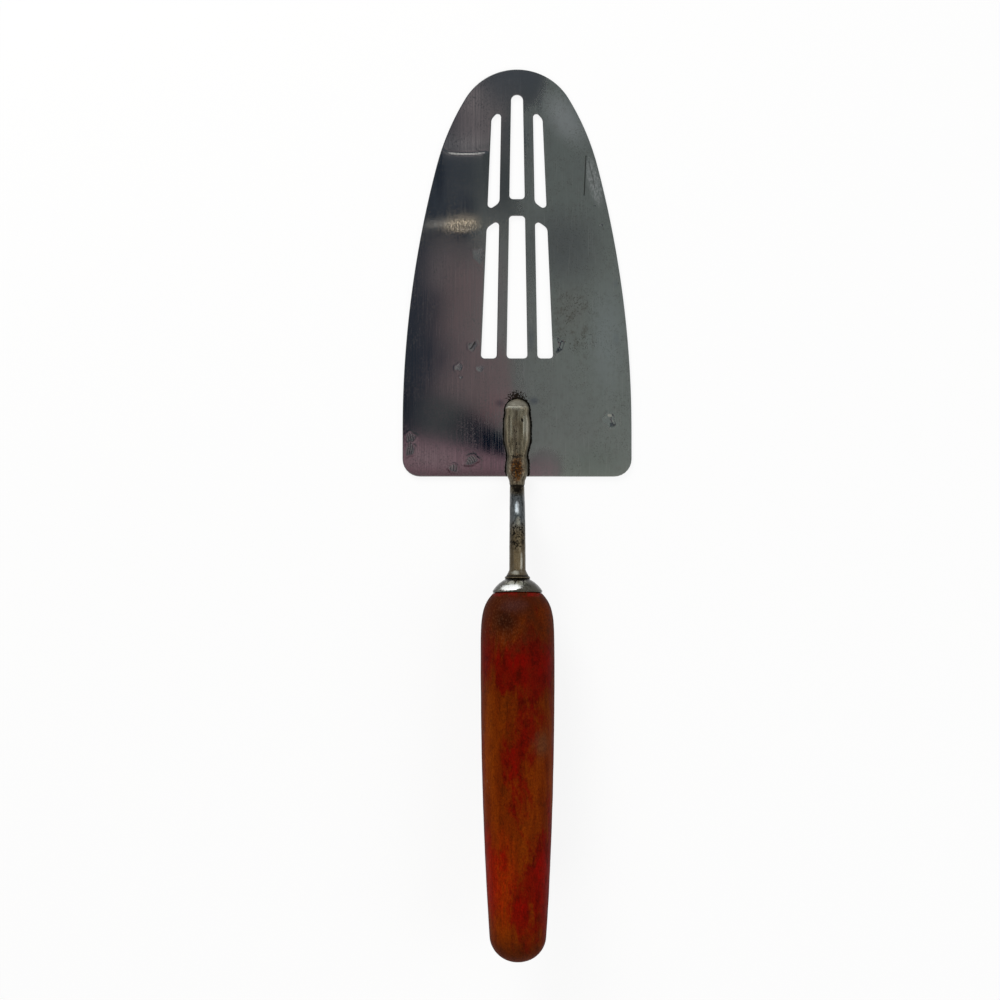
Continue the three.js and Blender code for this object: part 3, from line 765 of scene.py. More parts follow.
# distance of points on the blade from the tongue's outline, 0 under it
def fromTongue(points):
    distance = np.linspace(0, shankWire["overBlade"], 80)
    half = np.array([tongueHalf(place) for place in distance])
    away = np.full(len(points), np.inf)
    for place, reach in zip(distance, half):
        y = shankWire["overBlade"] - place
        across = np.maximum(np.abs(points[:, 0]) - reach, 0)
        away = np.minimum(away, np.hypot(across, points[:, 1] - y))
    return away


# dirt that has gathered along the tongue, with a painted contact shadow beside it, wider on the right
def tongueGrimeAndShade(points):
    away = fromTongue(points)
    patch = 0.5 + 0.5 * np.sin(points[:, 1] * 1.3 + np.sin(points[:, 0] * 2.1) * 1.7)
    width = 0.6 + 0.25 * patch + 0.35 * easeStep(0, 3, points[:, 0])
    return 1 - np.clip(away / width, 0, 1)


def wireRuns():
    w = shankWire
    up, tilt = w["crankAngle"], w["tilt"]
    rise = w["lowerBend"] * (1 - math.cos(up)) + w["upperBend"] * (math.cos(tilt) - math.cos(up))
    slope = (w["crankRise"] - rise) / math.sin(up)
    reach = (w["lowerBend"] * math.sin(up) + slope * math.cos(up)
             + w["upperBend"] * (math.sin(up) - math.sin(tilt)))
    straight = (w["collarFromBlade"] - w["behindBlade"] - reach) / math.cos(tilt)
    return [
        (tongueLength, 0.0),
        (w["lowerBend"] * up, up),
        (slope, 0.0),
        (w["upperBend"] * (up - tilt), tilt - up),
        (straight, 0.0),
        (w["tangLength"], 0.0),
    ]


wireParts = wireRuns()
collarSeat = sum(length for length, turn in wireParts[:5])


# place on the wire's centreline and its climb, at a distance from the tongue's tip
def onWire(distance):
    y, z = shankWire["overBlade"], shankWire["neckRadius"] + shankWire["neckLift"]
    climb, left = 0.0, distance
    for length, turn in wireParts:
        stretch = min(left, length)
        left -= stretch
        if turn == 0:
            y -= stretch * math.cos(climb)
            z += stretch * math.sin(climb)
        else:
            radius = length / turn
            after = climb + stretch / radius
            y -= radius * (math.sin(after) - math.sin(climb))
            z += radius * (math.cos(climb) - math.cos(after))
            climb = after
    return y, z, climb


def wireRing(distance, half, top, bottom, squareness=2.0):
    y, z, climb = onWire(distance)
    ring = {"centre": (0, y + rearEdge, z), "half": half, "top": top, "bottom": bottom, "climb": climb,
            "squareness": squareness}
    if distance <= tongueLength:
        ring["seat"] = bladeSheet["thickness"] - max(0, -shankWire["bladeEdge"] - y)
    return ring


def tongueRing(distance):
    form, neck = tongueForm, shankWire["neckRadius"]
    facet = form["tipHeight"] + (form["headHeight"] - form["tipHeight"]) * distance / form["facetLength"]
    height = facet if distance < form["facetLength"] else throughKnots(form["heights"], distance)
    height += form["ridge"] * ridge(distance, form["ridgeAt"], form["ridgeWidth"])
    seat = bladeSheet["thickness"] - neck - shankWire["neckLift"]
    toNeck = float(easeStep(form["neckFrom"], tongueLength, distance))
    lip = form["lip"] * ridge(distance, form["lipAt"], form["lipWidth"])
    pressed = 0.0
    for start, full, fullEnd, end, amount in form["creases"]:
        pressed += amount * float(easeStep(start, full, distance) * easeStep(end, fullEnd, distance))
    crease = (tongueHalf(distance) * form["creaseAt"], form["creaseDepth"] * pressed, form["creaseWidth"])
    ring = wireRing(
        distance,
        tongueHalf(distance) + lip,
        (seat + height) * (1 - toNeck) + neck * toNeck + lip,
        (seat - height * form["underRound"]) * (1 - toNeck) - neck * toNeck,
        form["squareness"] * (1 - toNeck) + 2 * toNeck,
    )
    return {**ring, "crease": crease}


def makeShank(finish):
    w, form = shankWire, tongueForm
    rings = []
    for step in range(w["noseSteps"]):
        share = (step / w["noseSteps"]) ** 2
        rings.append(tongueRing(form["tipFlat"] + (form["facetLength"] - form["tipFlat"]) * share))
    bladeEnd = w["overBlade"] + w["bladeEdge"]
    for start, end in [(form["facetLength"], bladeEnd), (bladeEnd, tongueLength)]:
        steps = int(math.ceil((end - start) / w["ringStep"]))
        rings += [tongueRing(start + (end - start) * step / steps) for step in range(steps)]
    flareStart = collarSeat - w["collarRim"] - w["collarFlare"]
    steps = int(math.ceil((flareStart - tongueLength) / w["ringStep"]))
    for step in range(steps + 1):
        distance = tongueLength + (flareStart - tongueLength) * step / steps
        radius = w["neckRadius"] + (w["rodRadius"] - w["neckRadius"]) * math.sqrt(step / steps)
        radius += form["lip"] * ridge(distance, form["lipAt"], form["lipWidth"])
        radius -= form["groove"] * ridge(distance, form["grooveAt"], form["grooveWidth"])
        rings.append(wireRing(distance, radius, radius, -radius))

    # collar: a flare, a rounded rim, and the flat underside down to the tang
    profile = []
    flareEnd = collarSeat - w["collarRim"]
    flareEndRadius = w["collarRadius"] - w["collarRimProud"]
    shares = [step / w["collarSteps"] for step in range(1, w["collarSteps"] + 1)]
    for share in shares:
        across = w["rodRadius"] + (flareEndRadius - w["rodRadius"]) * share ** w["collarHollow"]
        profile.append((flareStart + w["collarFlare"] * share, across))
    for share in shares:
        distance = flareEnd + w["collarRim"] * (1 - math.cos(share * math.pi)) / 2
        proud = abs(math.sin(share * math.pi)) ** (1 if share <= 0.5 else w["collarUnderside"])
        profile.append((distance, flareEndRadius + w["collarRimProud"] * proud))
    footProud, footLength = w["tangFoot"]
    tangEnd = collarSeat + w["tangLength"]
    profile += [
        (collarSeat, w["tangRadius"] + footProud),
        (collarSeat + footLength, w["tangRadius"]),
        (tangEnd - w["tangPoint"], w["tangRadius"]),
        (tangEnd, w["tangPointRadius"]),
        (tangEnd, 0.0),
    ]
    rings += [wireRing(distance, radius, radius, -radius) for distance, radius in profile]
    rings.insert(0, {**rings[0], "half": 0.0, "top": rings[0]["bottom"], "bottom": rings[0]["bottom"]})
    mesh = skinOver("shank_wire", rings, w, finish)
    pressHollows(mesh, form["hollows"])
    return showPiece("shank_wire", mesh, "shank")


# ferrule and handle: turned about the tang's axis, from the collar's underside

capForm = {
    "gap": 0.25,
    "dirtFill": 0.2,
    "boreRadius": 2.75,
    "topRadius": 4.2,
    "seatInset": 0.1,
    "domeHeight": 3.64,
    "rimRadius": 8.1,
    "rimHeight": 0.65,
    "wall": 0.6,
    "rimRound": 0.2,
    "domeSteps": 24,
    "insideSteps": 12,
    "lipSteps": 8,
    "sides": 180,
    "unevenness": 0.05,
    "patchSize": 2.0,
    "seed": 7.0,
    # short folds below the collar: turn from the top in degrees, lean in degrees, length, half width, depth
    "folds": [
        (-42, 6, 1.2, 0.26, 0.08), (-28, -8, 1.6, 0.3, 0.12), (-14, 7, 1.3, 0.26, 0.10),
        (-2, -7, 1.8, 0.32, 0.14), (11, 8, 1.4, 0.28, 0.10), (24, -7, 1.9, 0.32, 0.12),
        (38, 6, 1.4, 0.26, 0.09), (52, -5, 1.6, 0.26, 0.08),
    ],
    "foldPoints": 7,  # points of the dome's profile for a millimetre of fold
    "foldFade": 0.45,
}
gripForm = {
    "length": 116.1,
    "rimProud": 0.15,
    "radius": 12.0,
    "fattest": 15.4,
    "neckSlope": math.radians(45),
    "neckFlare": 3.1,
    "shoulderFlare": 8.8,
    "barrelHold": 20.0,
    "buttRadius": 9.05,
    "buttTaper": math.radians(4),
    "buttRun": 40.0,
    "buttLength": 7.7,
    "boreSpare": 1.5,
    "drillPoint": 1.65,
    "shoulderSteps": 36,
    "barrelSteps": 90,
    "buttSteps": 32,
    "outsidePoints": 160,
    "sides": 120,
    "unevenness": 0.09,
    "patchSize": 9.0,
    "seed": 11.0,
    # worn hollows: share along the wood, turn from the top in degrees, radius, depth
    "dents": [(0.08, -30, 3.0, 0.16), (0.14, 22, 2.2, 0.10), (0.30, -62, 1.6, 0.14), (0.34, 48, 3.2, 0.12),
              (0.47, 30, 2.6, 0.14), (0.52, -70, 1.4, 0.16), (0.66, -20, 3.0, 0.10), (0.71, -66, 1.5, 0.16),
              (0.83, 40, 2.6, 0.12), (0.42, 150, 3.0, 0.15), (0.75, 200, 2.4, 0.14), (0.25, 110, 2.0, 0.12)],
}
rimEnd = capForm["gap"] + capForm["domeHeight"] + capForm["rimHeight"]


def turnedRings(profile):
    y, z, climb = onWire(collarSeat)
    rings = []
    for radius, distance in profile:
        centre = (0, y + rearEdge - distance * math.cos(climb), z + distance * math.sin(climb))
        rings.append({"centre": centre, "half": radius, "top": radius, "bottom": -radius, "climb": climb})
    return rings


# a place on a turned piece, from its radius, its distance behind the collar and its turn from the top
def aroundTang(radius, distance, turn):
    y, z, climb = onWire(collarSeat)
    across, above = radius * math.sin(math.radians(turn)), radius * math.cos(math.radians(turn))
    return (across, y - distance * math.cos(climb) + above * math.sin(climb),
            z + distance * math.sin(climb) + above * math.cos(climb))


def capProfile(inset, end, steps):
    top, rim = capForm["topRadius"], capForm["rimRadius"]
    height = capForm["domeHeight"]
    depth = (rim ** 2 - top ** 2 + height ** 2) / (2 * height)
    radius = math.hypot(top, depth) - inset
    angles = np.linspace(math.acos((depth - inset) / radius), math.asin((rim - inset) / radius), steps)
    points = [(capForm["boreRadius"], capForm["gap"] + inset)]
    middle = capForm["gap"] + depth
    points += [(radius * math.sin(angle), middle - radius * math.cos(angle)) for angle in angles]
    return points + [(rim - inset, end)]


def makeFerrule(finish):
    c = capForm
    lipAt = rimEnd - c["rimRound"]
    outside = capProfile(0, lipAt, c["domeSteps"])
    seatAt = c["gap"] - c["dirtFill"]
    outside[:1] = [(c["boreRadius"], seatAt), (c["topRadius"] - c["seatInset"], seatAt)]
    inside = capProfile(c["wall"], lipAt, c["insideSteps"])
    lip = []
    for step in range(1, c["lipSteps"]):
        angle = step / c["lipSteps"] * math.pi
        across = c["rimRadius"] - c["wall"] / 2 + c["wall"] / 2 * math.cos(angle)
        lip.append((across, rimEnd - c["rimRound"] * (1 - math.sin(angle))))
    mesh = skinOver("ferrule_cap", turnedRings([*outside, *lip, *reversed(inside), outside[0]]), c, finish)
    places = np.array([vertex.co for vertex in mesh.vertices]) / mm - np.array([0, rearEdge, 0])
    normals = np.array([vertex.normal for vertex in mesh.vertices])
    folded, sunk = np.zeros(len(places)), np.zeros(len(places))
    for turn, lean, length, half, depth in c["folds"]:
        start = np.array(aroundTang(*outside[2], turn))
        end = np.array(aroundTang(*outside[2 + int(length * c["foldPoints"])], turn + lean))
        away, share = fromLine(places, start, end)
        mark = np.exp(-(away / half) ** 2) * (1 - c["foldFade"] * share)
        folded, sunk = np.maximum(folded, mark), np.maximum(sunk, mark * depth)
    moved = (places + np.array([0, rearEdge, 0]) - normals * sunk[:, None]) * mm
    mesh.vertices.foreach_set("co", moved.astype(np.float32).ravel())
    storeValues(mesh, "fold", folded)
    mesh.update()
    return showPiece("ferrule_cap", mesh, "ferrule")


def woodProfile():
    g = gripForm
    neckAt = rimEnd + capForm["gap"] - capForm["dirtFill"]
    buttEnd = rimEnd + g["length"]
    fattestAt, buttAt = neckAt + g["fattest"], buttEnd - g["buttLength"]
    neck, taper = capForm["rimRadius"] - g["rimProud"], math.tan(g["buttTaper"])
    neckEnd = (neck + g["neckFlare"] * math.tan(g["neckSlope"]), neckAt + g["neckFlare"])
    shoulder = bezier((neck, neckAt), neckEnd, (g["radius"], fattestAt - g["shoulderFlare"]),
                      (g["radius"], fattestAt), g["shoulderSteps"])
    buttRunFrom = (g["buttRadius"] + taper * g["buttRun"], buttAt - g["buttRun"])
    barrel = bezier((g["radius"], fattestAt), (g["radius"], fattestAt + g["barrelHold"]), buttRunFrom,
                    (g["buttRadius"], buttAt), g["barrelSteps"])
    pull = g["buttLength"] * quarterPull
    butt = bezier((g["buttRadius"], buttAt), (g["buttRadius"] - taper * pull, buttAt + pull),
                  (g["buttRadius"] * quarterPull, buttEnd), (0, buttEnd), g["buttSteps"])
    boreEnd = shankWire["tangLength"] + g["boreSpare"]
    bore = [(0, boreEnd + g["drillPoint"]), (capForm["boreRadius"], boreEnd)]
    spigot = capProfile(capForm["wall"] + capForm["gap"], neckAt, capForm["insideSteps"])
    return [*bore, *spigot, *map(tuple, shoulder), *map(tuple, barrel[1:]), *map(tuple, butt[1:])]


def makeHandle(finish):
    profile = woodProfile()
    mesh = skinOver("handle_wood", turnedRings(profile), gripForm, finish)
    outside = profile[-gripForm["outsidePoints"]:]
    hollows = []
    for share, turn, radius, depth in gripForm["dents"]:
        across, distance = outside[int(share * (len(outside) - 1))]
        hollows.append((*aroundTang(across, distance, turn), radius, depth))
    pressHollows(mesh, hollows)
    return showPiece("handle_wood", mesh, "handle")


# finishes; a place on the tool is x, y from the blade's rear edge, half width, half length (millimetres)

bladeFinish = {
    "bright": (0.40, 0.40, 0.405),
    "hazy": (0.37, 0.405, 0.385),
    "clouded": (0.33, 0.345, 0.34),
    "brushed": (0.28, 0.288, 0.29),
    "blotch": (0.19, 0.175, 0.15),
    "speck": (0.12, 0.118, 0.10),
    "hairline": (0.58, 0.58, 0.57),
    "brightDingHighlight": (0.54, 0.55, 0.56),
    "hazyDingHighlight": (0.36, 0.355, 0.375),
    "heat": (0.14, 0.16, 0.20),
    "scuff": (0.62, 0.62, 0.64),
    "crumb": (0.026, 0.017, 0.008),
    "smearAndShade": (0.012, 0.009, 0.006),
    "scratch": (0.02, 0.018, 0.016),
    "cutEdgeShade": (0.04, 0.041, 0.043),
    "wiped": [(9, 2, 9, 11), (-4, 15, 9, 17), (0, 132, 14, 17)],  # places with little haze
    # stains, rubbed places and darker bars, and a painted sheen at the right of the tip (the lighter one at
    # 16, 119): place, turn in degrees, amount, colour
    "tintsAndSheen": [
        (18, 55, 9, 13, 0, 0.18, (0.30, 0.245, 0.215)),
        (15.5, 76.5, 18, 19, 0, 0.8, (0.22, 0.23, 0.24)),
        (30, 46, 9, 26, 0, 0.5, (0.46, 0.51, 0.525)),
        (16, 119, 8, 15, 36, 0.7, (0.68, 0.70, 0.71)),
        (25, 3, 17, 11, 0, 0.9, (0.30, 0.343, 0.32)),
        (-0.3, 114, 7, 9, 0, 0.35, (0.20, 0.23, 0.28)),
        (4.7, 46, 1.7, 6, 0, 0.5, (0.22, 0.25, 0.29)),
        (33.0, 45.8, 1.3, 3.2, 8, 0.35, (0.25, 0.29, 0.32)),
        (32.8, 64.0, 1.5, 1.7, 0, 0.35, (0.25, 0.29, 0.32)),
    ],
    "mottled": (19.0, 52.0, 10.0, 18.0),
    "hairTurns": (-24, 13, 38),
    "heated": [(-5.6, 24.4, 2.4, 1.9), (5.6, 25.2, 2.4, 1.9)],
    "scuffed": (25.6, 98.0, 2.3, 9.0, 13),
    "crumbHeap": (-0.3, 26.0, 4.6, 3.4),
    "smoother": [(-20.0, 86.5, 17, 10, 0.5, 0.045), (-6, 11.5, 12, 9, 0.9, 0.032)],  # place, softness, amount
    "worn": (-18.0, 82.8, 11.5, 4.8),
}


def brushedBladeSteel():
    look = bladeFinish
    f = Finish("brushedBladeSteel")
    cloud = f.noise((0.05, 0.03, 0.05), detail=4, rough=0.55)
    brush = f.noise((2.6, 0.035, 1.0), detail=4, rough=0.65)
    fine = f.noise((7.0, 0.11, 1.0), detail=2, rough=0.6)
    grit = f.noise((3.2, 2.2, 1.0), detail=3, rough=0.6)
    haze = f.span(f.plus(f.axes()[0], f.waver(cloud, 26.0)), -9.0, 9.0)
    for place in look["wiped"]:
        wiped = f.spot(*place, soft=0.8, wobble=(cloud, 1.0))
        haze = f.both(haze, f.span(wiped, 0.0, 1.0, 1.0, 0.15))
    grimeAndShade, cut, rim, ding = (f.attribute(name) for name in ("grimeAndShade", "cut", "rim", "ding"))

    f.base = f.blend(haze, look["bright"], look["hazy"])
    f.coat(f.span(cloud, 0.35, 0.65, 0.0, 0.35), look["clouded"])
    f.coat(f.span(brush, 0.35, 0.65, 0.0, 0.2), look["brushed"])
    for *place, amount, colour in look["tintsAndSheen"]:
        f.coat(f.both(f.spot(*place, soft=0.9, wobble=(grit, 0.5)), amount), colour)

    # wear: soft blotches and clustered specks on the hazy side, hairlines on the bright side
    mottled = f.spot(*look["mottled"], soft=0.9, wobble=(cloud, 1.5))
    blotch = f.span(f.noise((0.62, 0.46, 0.62), detail=6, rough=0.75), 0.46, 0.66, 0.0, 0.65)
    blotch = f.both(blotch, f.span(mottled, 0.0, 1.0, 0.3, 1.0))
    f.coat(f.both(blotch, haze), look["blotch"])
    cluster = f.span(f.noise((0.16, 0.13, 0.16), detail=4, rough=0.6, shift=(4, 1, 0)), 0.43, 0.56)
    cluster = f.both(cluster, f.span(mottled, 0.0, 1.0, 0.55, 1.0))
    speck = f.both(f.span(f.noise((2.2, 1.7, 2.2), detail=4, rough=0.65), 0.53, 0.61), cluster)
    f.coat(f.both(speck, f.span(haze, 0.0, 1.0, 0.25, 0.7)), look["speck"])
    hairs = None
    for turn in look["hairTurns"]:
        streak = f.noise((3.4, 0.07, 1.0), detail=2, rough=0.5, turn=(0, 0, math.radians(turn)))
        line = f.span(streak, 0.66, 0.72)
        hairs = f.either(hairs, line) if hairs else line
    f.coat(f.both(hairs, 0.35), look["hairline"])
    # painted highlight: the dings are painted lighter than the metal round them
    f.coat(f.both(ding, 0.35), f.blend(haze, look["brightDingHighlight"], look["hazyDingHighlight"]))

    # heat tint beside the tongue's head, the scuff by the scratch, dirt with painted shadow along the tongue,
    # and painted shade on the cut edges
    for place in look["heated"]:
        f.coat(f.both(f.spot(*place, soft=0.9, wobble=(fine, 0.8)), 0.65), look["heat"])
    flecks = f.span(f.noise((1.6, 0.8, 1.0), detail=4, rough=0.7), 0.44, 0.58, 0.15, 1.0)
    scuff = f.both(f.spot(*look["scuffed"], soft=0.3, wobble=(grit, 1.6)), flecks)
    f.coat(f.both(scuff, 0.45), look["scuff"])
    crumbs = f.noise((1.9, 1.9, 1.9), detail=2, rough=0.5)
    heap = f.spot(*look["crumbHeap"], soft=0.9)
    loose = f.span(f.plus(crumbs, f.both(heap, 0.25)), 0.60, 0.66)
    loose = f.both(loose, f.span(heap, 0.0, 0.12))
    f.coat(f.both(loose, 0.95), look["crumb"])
    # painted shadow: the smear darkens the blade beside the tongue, partly dirt and partly contact shadow
    smearAndShade = f.span(f.plus(grimeAndShade, f.waver(crumbs, 0.7)), 0.38, 0.52)
    f.coat(smearAndShade, look["smearAndShade"])
    f.coat(f.both(cut, 0.95), look["scratch"])
    # painted shade: the rounded cut edges are darkened
    f.coat(f.both(rim, f.span(brush, 0.3, 0.7, 0.7, 0.95)), look["cutEdgeShade"])

    roughness = f.plus(f.span(haze, 0.0, 1.0, 0.075, 0.30), f.span(brush, 0.3, 0.7, -0.02, 0.035))
    roughness = f.plus(roughness, f.both(ding, f.span(haze, 0.0, 1.0, 0.11, -0.2)))
    roughness = f.plus(roughness, f.both(smearAndShade, 0.4))
    roughness = f.plus(roughness, f.both(f.plus(scuff, speck), 0.15))
    for *place, soft, amount in look["smoother"]:
        roughness = f.minus(roughness, f.both(f.spot(*place, soft=soft), amount))

    # a grainy patch on the bright side, where the brushing is worn off; its colour is made grainy and in
    # places brighter than the metal, a painted sparkle
    worn = f.spot(*look["worn"], soft=1.0, wobble=(grit, 0.6))
    worn = f.both(worn, f.span(f.plus(f.along(), f.waver(grit, 1.0)), 87.0, 86.0))
    sparkle = f.noise((2.0, 0.95, 1.0), detail=4, rough=0.75, shift=(6, 3, 0))
    f.shade(f.blend(f.both(worn, 0.75), (1.0, 1.0, 1.0), f.span(sparkle, 0.40, 0.62, 0.45, 1.75)))
    brushed = f.both(f.plus(f.both(brush, 0.12), f.both(fine, 0.18)), f.span(worn, 0.0, 1.0, 1.0, 0.25))
    height = f.plus(brushed, f.both(grit, f.span(worn, 0.0, 1.0, 0.5, 1.8)))
    normal = f.bump(f.minus(height, f.both(hairs, 0.3)), 0.005, 0.5)
    return f.finish(roughness, normal, 1.0, Anisotropic=0.5)


wireFinish = {
    "dull": (0.24, 0.20, 0.135),
    "fair": (0.34, 0.30, 0.22),
    "streak": (0.115, 0.092, 0.06),
    "rod": (0.20, 0.228, 0.245),
    "darkReflectionStreak": (0.05, 0.058, 0.064),
    "brown": (0.17, 0.125, 0.068),
    "head": (0.46, 0.43, 0.35),
    "smoke": (0.055, 0.046, 0.03),
    "rubbedAndHighlight": (0.63, 0.61, 0.52),
    "polishedHighlight": (0.84, 0.91, 0.95),
    "darkRust": (0.03, 0.012, 0.003),
    "rust": (0.16, 0.057, 0.005),
    "crust": (0.012, 0.006, 0.003),
    "pit": (0.012, 0.010, 0.007),
    "dirtAndShade": (0.012, 0.009, 0.006),
    # painted highlights on edges, ridges and bends, laid on as bright metal: place, turn in degrees, amount
    "highlightPlaces": [
        (-0.8, 22.8, 3.2, 0.45, 0, 0.8),  # the head's ridge
        (3.1, 16.6, 1.1, 5.8, 1, 0.45),  # the right wing and its border
        (2.2, 16.4, 0.35, 5.4, 0, 0.7),
        (1.3, -28.0, 0.5, 4.0, 0, 1.0),  # a streak ahead of the flare
        (-0.7, -31.2, 1.9, 0.8, 0, 0.7),
        (-2.0, 16.0, 0.3, 5.0, 0, 0.3),  # the left wing's border
        (0.2, -14.6, 0.9, 1.8, 0, 0.8),
        (-3.2, 22.9, 0.9, 0.5, 20, 1.0),
    ],
    "headHighlightPlace": (0.0, 23.6, 4.6, 2.2),
    "smokedPlace": (0.3, -20.5, 3.4, 7.0),
    "polishedHighlightPlace": (-0.1, -10.4, 0.9, 2.7),
    "lobe": (-0.1, 2.5, 3.1, 6.4),
    "body": (-0.4, 10.5, 2.6, 13.0),
    "bend": (0.2, -19.0, 3.6, 7.0),
    "waist": (0.1, 6.7, 3.8, 0.75),
    "deepPit": (1.6, 18.6, 0.5, 0.85, 15),
    "underLip": (0.1, -4.3, 2.2, 2.5),
}


def forgedWireSteel():
    look = wireFinish
    f = Finish("forgedWireSteel")
    along = f.along()
    cloud = f.noise((0.22, 0.16, 0.22), detail=5, rough=0.6)
    grain = f.noise((1.3, 1.0, 1.3), detail=4, rough=0.65)
    pitting = f.noise((2.1, 1.6, 2.1), detail=2, rough=0.5, shift=(2, 5, 1))
    crust = f.noise((2.8, 2.2, 2.8), detail=4, rough=0.7, shift=(7, 1, 3))
    streaks = f.noise((1.5, 0.11, 1.5), detail=4, rough=0.6)
    reflectionStreaks = f.noise((1.9, 0.13, 1.9), detail=3, rough=0.6, shift=(3, 0, 1))
    flaky = f.noise((1.3, 1.0, 1.3), detail=6, rough=0.72, shift=(9, 4, 2))
    blot = f.noise((1.25, 1.0, 1.25), detail=3, rough=0.55, shift=(4, 2, 6))

    f.base = f.blend(f.span(cloud, 0.35, 0.65), look["dull"], look["fair"])
    f.coat(f.span(streaks, 0.42, 0.62, 0.0, 0.75), look["streak"])
    bright = f.both(f.span(along, -5.0, -7.0), f.span(along, -19.0, -13.0))
    f.coat(f.both(bright, 0.88), look["rod"])
    # painted reflection: dark streaks over the bright part of the bend
    f.coat(f.both(bright, f.span(reflectionStreaks, 0.47, 0.60, 0.0, 0.75)), look["darkReflectionStreak"])
    brown = f.span(along, -15.0, -21.0)
    f.coat(f.both(brown, f.span(grain, 0.35, 0.65, 0.3, 0.85)), look["brown"])
    # painted highlight: the head's facet is painted lighter
    head = f.spot(*look["headHighlightPlace"], soft=0.5, wobble=(grain, 0.8))
    f.coat(f.both(head, 0.8), look["head"])
    smoky = f.spot(*look["smokedPlace"], soft=0.8, wobble=(cloud, 1.0))
    f.coat(f.both(smoky, f.span(grain, 0.44, 0.60, 0.0, 0.8)), look["smoke"])
    # painted highlights, laid on as bright metal
    for *place, amount in look["highlightPlaces"]:
        f.coat(f.both(f.spot(*place, soft=0.7, wobble=(grain, 1.2)), amount), look["rubbedAndHighlight"])
    # painted highlight: a pale bluish spot on the polished bend, which is also smoother
    polishedHighlight = f.spot(*look["polishedHighlightPlace"], soft=0.6, wobble=(grain, 1.2))
    f.coat(f.both(polishedHighlight, 0.95), look["polishedHighlight"])

    # rust on the lower lobe, specks up the body and pits round the bend
    onLobe = f.spot(*look["lobe"], soft=0.6, wobble=(grain, 1.2))
    rust = f.blend(f.span(flaky, 0.45, 0.58), look["darkRust"], look["rust"])
    f.coat(f.both(onLobe, f.span(grain, 0.32, 0.48, 0.45, 1.0)), rust)
    f.coat(f.both(onLobe, f.span(crust, 0.48, 0.54)), look["crust"])
    pits = f.both(f.span(pitting, 0.55, 0.60), f.spot(*look["body"], soft=0.9))
    atBend = f.spot(*look["bend"], soft=0.6, wobble=(cloud, 1.2))
    pits = f.either(pits, f.both(f.span(blot, 0.52, 0.56), atBend))
    waist = f.spot(*look["waist"], soft=0.7, wobble=(grain, 2.4))
    pits = f.either(pits, f.both(waist, f.span(crust, 0.40, 0.50)))
    pits = f.either(pits, f.spot(*look["deepPit"], soft=0.5))
    f.coat(f.both(pits, 0.97), look["pit"])

    # dirt and painted shade along the blade, under the lip, in the seam, and round and under the collar's rim
    dirtAndShade = f.both(f.span(f.axes()[2], 1.9, 1.3), f.span(along, -1.0, 1.0))
    dirtAndShade = f.either(dirtAndShade, f.spot(*look["underLip"], soft=0.6, wobble=(grain, 1.8)))
    seam = f.both(f.span(along, -2.6, -2.9), f.span(along, -3.7, -3.3))
    dirtAndShade = f.either(dirtAndShade, f.both(seam, f.span(grain, 0.3, 0.5)))
    onRim = f.both(f.span(along, -31.8, -32.15), f.span(along, -32.8, -32.5))
    for place in (onRim, f.span(along, -32.9, -33.3)):
        dirtAndShade = f.either(dirtAndShade, f.both(place, 0.8))
    f.coat(f.both(dirtAndShade, 0.97), look["dirtAndShade"])
    # painted shade: darker where the surface turns away from above, and along the rod's sides
    flankShade = f.span(f.plus(f.facing(), f.waver(grain, 0.12)), 0.95, 0.84, 1.0, 0.4)
    edge = f.either(f.span(f.facing(), 0.5, 0.1, 1.0, 0.5), f.span(along, -3.0, -1.0))
    f.shade(f.both(flankShade, edge))

    roughness = f.plus(f.span(bright, 0.0, 1.0, 0.26, 0.15), f.span(grain, 0.3, 0.7, -0.05, 0.10))
    roughness = f.plus(roughness, f.both(f.plus(onLobe, dirtAndShade), 0.25))
    roughness = f.minus(roughness, f.both(polishedHighlight, 0.05))
    height = f.minus(f.plus(grain, f.both(crust, onLobe)), pits)
    metallic = f.span(onLobe, 0.1, 0.8, 0.92, 0.35)
    return f.finish(roughness, f.bump(height, 0.06, 0.8), metallic, Specular_IOR_Level=0.15)


capFinish = {
    "dull": (0.08, 0.078, 0.064),
    "fair": (0.14, 0.14, 0.122),
    "stain": (0.05, 0.043, 0.03),
    "upper": (0.52, 0.51, 0.42),
    "rim": (0.06, 0.054, 0.042),
    "rubbedAndHighlight": (0.95, 0.96, 0.93),
    "edge": (0.50, 0.42, 0.36),
    "tarnishAndShade": (0.055, 0.051, 0.04),
    "creviceShade": (0.012, 0.010, 0.007),
    "flankShade": (0.025, 0.022, 0.017),
    "upperSheenPlace": (-0.5, -34.2, 4.8, 1.1),
    "rubbedAndHighlightPlace": (-2.2, -35.7, 4.1, 1.15, 6),
    "edgeHighlightPlace": (2.4, -37.2, 2.4, 0.7),
}


